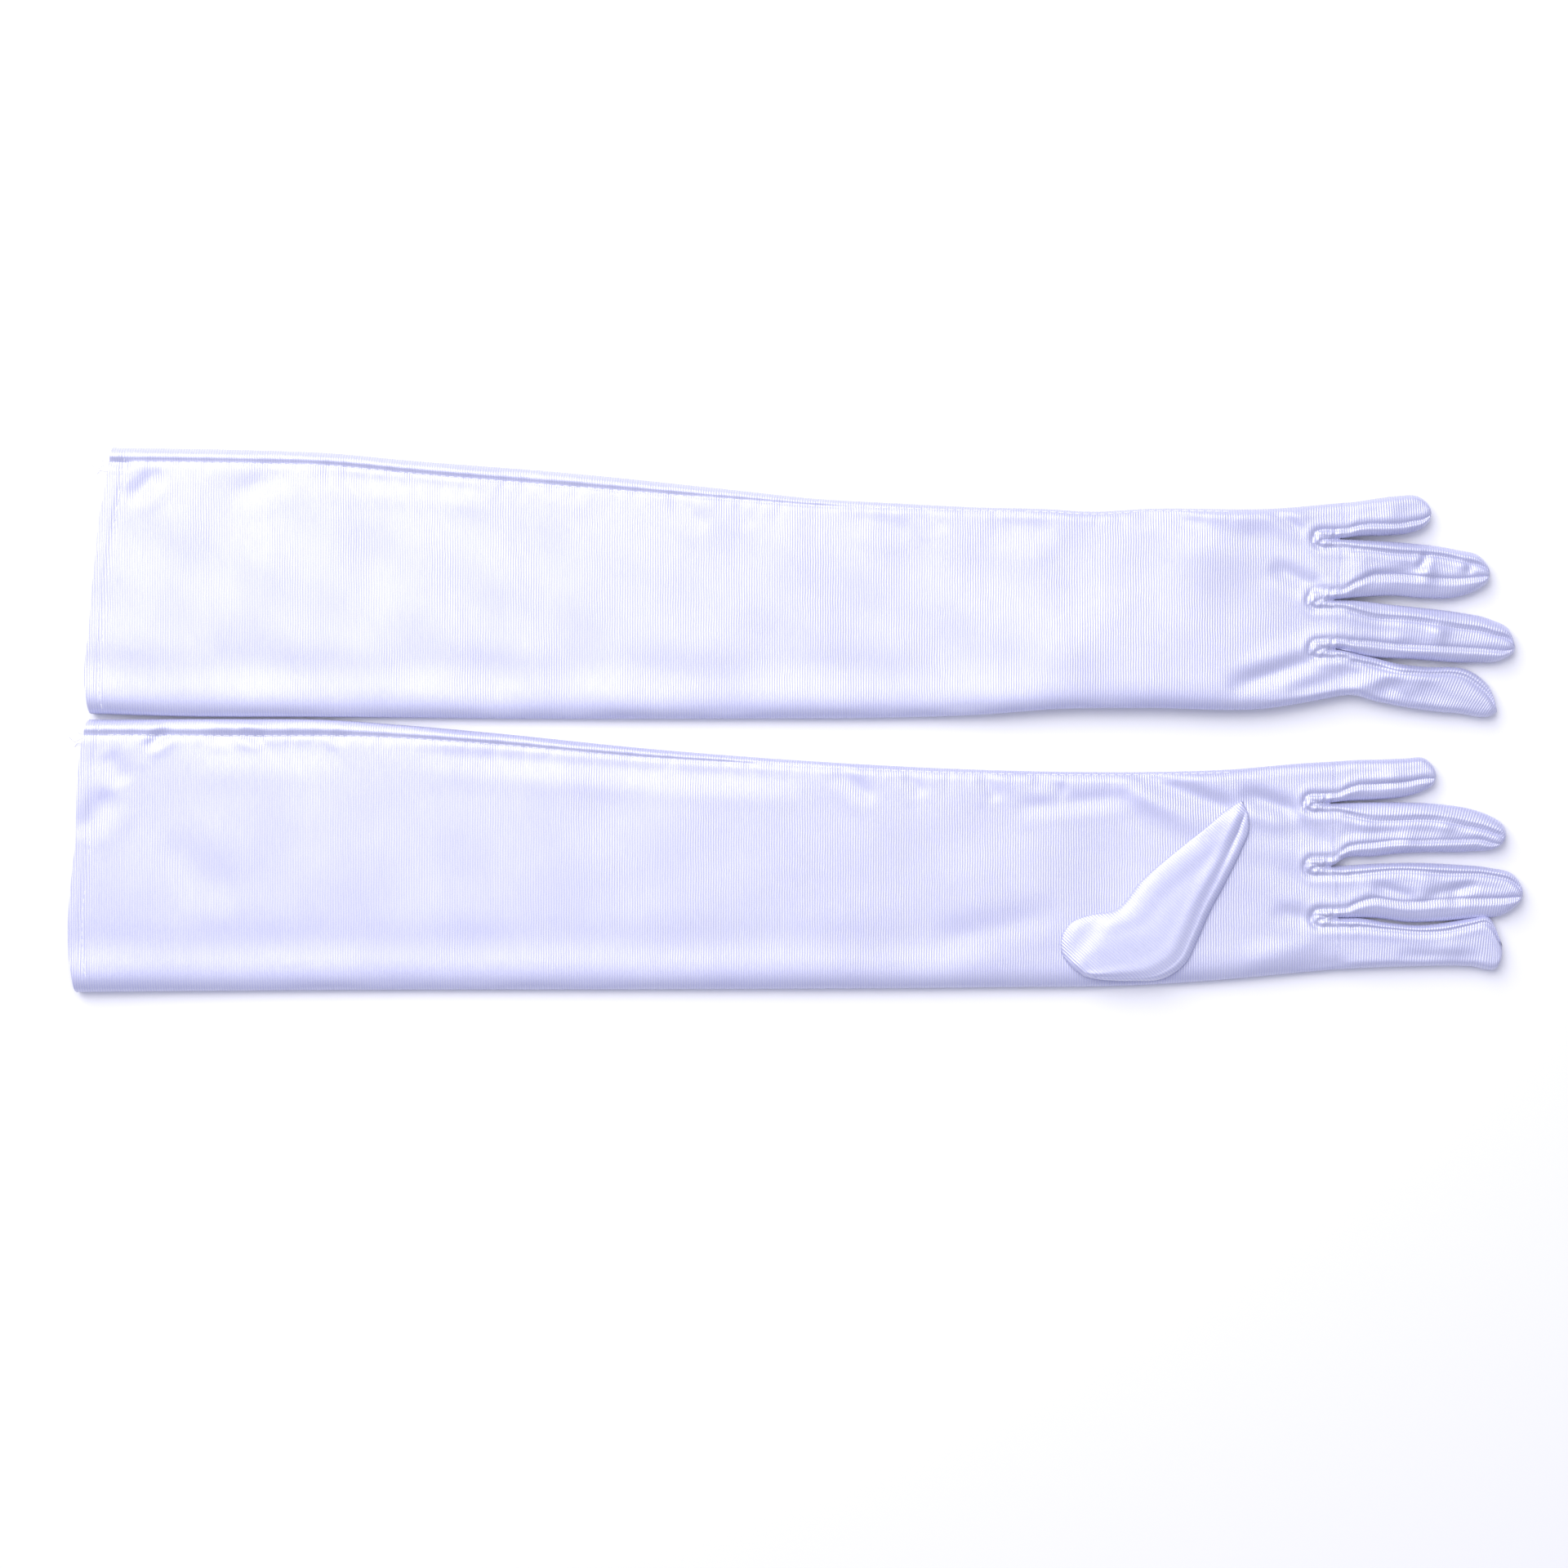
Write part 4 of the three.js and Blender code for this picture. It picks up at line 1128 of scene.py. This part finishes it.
class GLOVES_OT_sleeves(bpy.types.Operator):
    """Sew the upper sleeves, from the mouth to the elbow"""
    bl_idname = "gloves.sleeves"
    bl_label = "Upper Sleeves"

    def execute(self, context):
        for side in SIDES:
            piece = panel(side, "upper_sleeve", glove_cloth(side, relief_sizes()))
            move_with(piece, f"{side}_upper_arm", f"{side}_upper_sleeve")
        return {"FINISHED"}


class GLOVES_OT_forearms(bpy.types.Operator):
    """Sew the forearms, between the elbow and the wrist"""
    bl_idname = "gloves.forearms"
    bl_label = "Forearms"

    def execute(self, context):
        for side in SIDES:
            piece = panel(side, "forearm", glove_cloth(side, relief_sizes()))
            bend_with(piece, f"{side}_upper_arm", f"{side}_forearm", *bend_between(side, "elbow"),
                      f"{side}_forearm", "satin_panel")
        return {"FINISHED"}


class GLOVES_OT_hands(bpy.types.Operator):
    """Sew the hands, from the wrist to the fingers' roots"""
    bl_idname = "gloves.hands"
    bl_label = "Hands"

    def execute(self, context):
        for side in SIDES:
            piece = panel(side, "hand", glove_cloth(side, relief_sizes()))
            bend_with(piece, f"{side}_forearm", f"{side}_hand", *bend_between(side, "wrist"),
                      f"{side}_hand", "satin_panel")
        return {"FINISHED"}


class GLOVES_OT_fingers(bpy.types.Operator):
    """Sew the fingers, from their roots to their tips"""
    bl_idname = "gloves.fingers"
    bl_label = "Fingers"

    def execute(self, context):
        for side in SIDES:
            for name in FINGERS:
                piece = panel(side, f"{name}_finger", glove_cloth(side, relief_sizes()))
                bend_with(piece, f"{side}_hand", f"{side}_{name}_finger", *finger_bend(side, name),
                          f"{side}_{name}_finger", "satin_panel")
        return {"FINISHED"}


class GLOVES_OT_fourchettes(bpy.types.Operator):
    """Sew the strips of cloth between the fingers"""
    bl_idname = "gloves.fourchettes"
    bl_label = "Fourchettes"

    def execute(self, context):
        for side in SIDES:
            for place, name in enumerate(FINGERS):
                edges = (["fold_side"] if place > 0 else []) + (["seam_side"] if place < 3 else [])
                for edge in edges:
                    node = f"{name}_fourchette_{edge}"
                    piece = panel(side, node, glove_cloth(side, relief_sizes()))
                    bend_with(piece, f"{side}_hand", f"{side}_{name}_finger", *finger_bend(side, name),
                              f"{side}_{node}", "satin_strip")
        return {"FINISHED"}


class GLOVES_OT_thumbs(bpy.types.Operator):
    """Sew the thumbs: one lies over its palm, the other is tucked under"""
    bl_idname = "gloves.thumbs"
    bl_label = "Thumbs"

    def execute(self, context):
        for side in SIDES:
            piece = panel(side, "thumb", thumb_cloth(side, relief_sizes()))
            if lay(side)["thumb_under"]:
                move_with(piece, f"{side}_thumb", f"{side}_thumb")
            else:
                base = lay(side)["thumb"]["lower"][0]
                bend_with(piece, f"{side}_hand", f"{side}_thumb", world_point(side, *base),
                          world_point(side, base[0], base[1] + 8), f"{side}_thumb", "satin_panel")
        return {"FINISHED"}


class GLOVES_OT_hems(bpy.types.Operator):
    """Turn up the hems inside the mouths and stitch them"""
    bl_idname = "gloves.hems"
    bl_label = "Hems"

    def execute(self, context):
        thickness = glove_settings().cloth_thickness / MM
        for side in SIDES:
            source = glove_cloth(side, relief_sizes())
            sleeve = source.faces[source.owners == f"{side}_upper_sleeve"]
            past_mouth = source.points[sleeve].mean(1)
            past_mouth = past_mouth[:, 0] - curve_through(lay(side)["mouth"], past_mouth[:, 1])
            turned = sleeve[past_mouth < HEM_LINE + HEM_PAST_LINE]
            inside = thickness + UNDERLAP
            piece = cut_out(f"{side}_hem_facing_satin", source, side, turned, satin_material(),
                            (inside, inside + thickness))
            move_with(piece, f"{side}_upper_arm", f"{side}_hem_facing")
            stitches = thread_run(f"{side}_hem_thread", side, hem_spots(side, relief_sizes()))
            move_with(stitches, f"{side}_upper_arm", f"{side}_hem_stitching")
        return {"FINISHED"}


class GLOVES_OT_side_seams(bpy.types.Operator):
    """Stitch the side seams of the sleeves, the forearms and the hands"""
    bl_idname = "gloves.side_seams"
    bl_label = "Side Seams"

    def execute(self, context):
        for side in SIDES:
            glove = lay(side)
            elbow, wrist = glove["elbow"] - BEND_REACH, glove["wrist"] - BEND_REACH
            begin = float(curve_through(glove["mouth"], glove["mouth"][-1][0])) + HEM_LINE + 1
            stop = glove["wrist"] + STITCHED_PAST_WRIST
            runs = {"upper": (begin, elbow), "forearm": (elbow, wrist), "hand": (wrist, stop)}
            for part, (first, last) in runs.items():
                spots = seam_spots(side, first, last, relief_sizes())
                piece = thread_run(f"{side}_{part}_seam_thread", side, spots)
                node = f"{side}_{part}_side_seam"
                if part == "upper":
                    move_with(piece, f"{side}_upper_arm", node)
                elif part == "forearm":
                    bend_with(piece, f"{side}_upper_arm", f"{side}_forearm", *bend_between(side, "elbow"),
                              node, "sewing_thread")
                else:
                    bend_with(piece, f"{side}_forearm", f"{side}_hand", *bend_between(side, "wrist"),
                              node, "sewing_thread")
        return {"FINISHED"}


class GLOVES_OT_thread_ends(bpy.types.Operator):
    """Leave the ends of thread that hang from the mouths"""
    bl_idname = "gloves.thread_ends"
    bl_label = "Thread Ends"

    def execute(self, context):
        for side in SIDES:
            low, high = (np.array(corner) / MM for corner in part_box(f"{side}_thread_end"))
            end, reach = high[0], high[0] - low[0]
            y, z = (low[1] + high[1]) / 2, low[2]
            strands = [
                [(end, y, z), (end - 0.35 * reach, y + 0.5, z - 1), (end - 0.7 * reach, y - 0.6, 1.0),
                 (low[0] + 0.4, y + 1.2, 0.3)],
                [(end, y - 1, z), (end - 0.3 * reach, y - 1.8, z - 1.4), (end - 0.55 * reach, y - 1.2, 0.8),
                 (end - 0.75 * reach, y - 2.6, 0.3)],
                [(end, y + 1, z), (end - 0.3 * reach, y + 2.2, z - 1), (end - 0.5 * reach, y + 2.4, 1.6),
                 (end - 0.6 * reach, y + 3.8, 1.2)],
            ]
            piece = thread_piece(f"{side}_thread_tail", [loose_strand(path) for path in strands])
            move_with(piece, f"{side}_upper_arm", f"{side}_thread_end")
        return {"FINISHED"}


class GLOVES_OT_stage(bpy.types.Operator):
    """Set the floor, the soft lights and a camera straight above"""
    bl_idname = "gloves.stage"
    bl_label = "Floor, Lights and Camera"

    def execute(self, context):
        stage = context.scene.opera_gloves_stage
        bpy.ops.object.select_all(action="DESELECT")
        bpy.ops.mesh.primitive_plane_add(size=6, location=(0, 0, -0.0002))
        floor = context.object
        floor.name = "floor"
        bpy.ops.object.transform_apply(location=True)
        material, tree, shader = blank_material("floor_paper")
        place = shader_node(tree, "ShaderNodeTexCoord").outputs["Object"]
        grain = shader_node(tree, "ShaderNodeTexNoise", vector=place, scale=240.0, detail=3.0).outputs[0]
        bump = shader_node(tree, "ShaderNodeBump", height=grain, strength=0.1, distance=0.0001)
        tree.links.new(bump.outputs[0], shader.inputs["Normal"])
        shader.inputs["Base Color"].default_value = (*stage.floor, 1)
        shader.inputs["Roughness"].default_value = 0.7
        floor.data.materials.append(material)

        for name, spot, size, power in (
                ("key_light", (-0.55, 1.0, 1.35), 1.7, stage.key_power),
                ("top_light", (-0.12, 0.1, 1.7), 1.2, 0.22 * stage.key_power)):
            bpy.ops.object.light_add(type="AREA", location=spot)
            light = context.object
            light.name = name
            light.data.size = size
            light.data.energy = power
            light.data.color = (1.0, 0.985, 0.93)
            light.rotation_euler = (Vector((0, 0, 0)) - Vector(spot)).to_track_quat("-Z", "Y").to_euler()

        if context.scene.world is None:
            context.scene.world = bpy.data.worlds.new("studio")
        context.scene.world.use_nodes = True
        sky = context.scene.world.node_tree.nodes["Background"]
        sky.inputs["Color"].default_value = (*stage.room, 1)
        sky.inputs["Strength"].default_value = stage.room_strength

        bpy.ops.object.camera_add(location=(*stage.view_middle, stage.camera_height), rotation=(0, 0, 0))
        camera = context.object
        camera.name = "camera"
        camera.data.sensor_width = 36
        camera.data.lens = camera.data.sensor_width * stage.camera_height / stage.view_width
        context.scene.camera = camera
        context.scene.view_settings.view_transform = "Standard"
        return {"FINISHED"}


class GLOVES_PT_panel(bpy.types.Panel):
    """The gloves' sizes and colours, and the steps that sew them"""
    bl_idname = "GLOVES_PT_panel"
    bl_label = "Opera Gloves"
    bl_space_type = "VIEW_3D"
    bl_region_type = "UI"
    bl_category = "Gloves"

    def draw(self, context):
        for settings in (context.scene.opera_gloves, context.scene.opera_gloves_stage):
            box = self.layout.box()
            for name in settings.bl_rna.properties.keys():
                if name not in ("rna_type", "name"):
                    box.prop(settings, name)
        for step in STEPS:
            self.layout.operator(step.bl_idname)


STEPS = (GLOVES_OT_stage, GLOVES_OT_sleeves, GLOVES_OT_forearms, GLOVES_OT_hands, GLOVES_OT_fingers,
         GLOVES_OT_fourchettes, GLOVES_OT_thumbs, GLOVES_OT_hems, GLOVES_OT_side_seams, GLOVES_OT_thread_ends)
CLASSES = (GloveSettings, StageSettings, *STEPS, GLOVES_PT_panel)


def register():
    for made in CLASSES:
        bpy.utils.register_class(made)
    bpy.types.Scene.opera_gloves = bpy.props.PointerProperty(type=GloveSettings)
    bpy.types.Scene.opera_gloves_stage = bpy.props.PointerProperty(type=StageSettings)


def unregister():
    del bpy.types.Scene.opera_gloves
    del bpy.types.Scene.opera_gloves_stage
    for made in reversed(CLASSES):
        bpy.utils.unregister_class(made)


def main():
    register()
    bpy.ops.gloves.stage()
    bpy.ops.gloves.sleeves()
    bpy.ops.gloves.forearms()
    bpy.ops.gloves.hands()
    bpy.ops.gloves.fingers()
    bpy.ops.gloves.fourchettes()
    bpy.ops.gloves.thumbs()
    bpy.ops.gloves.hems()
    bpy.ops.gloves.side_seams()
    bpy.ops.gloves.thread_ends()


if __name__ == "__main__":
    main()
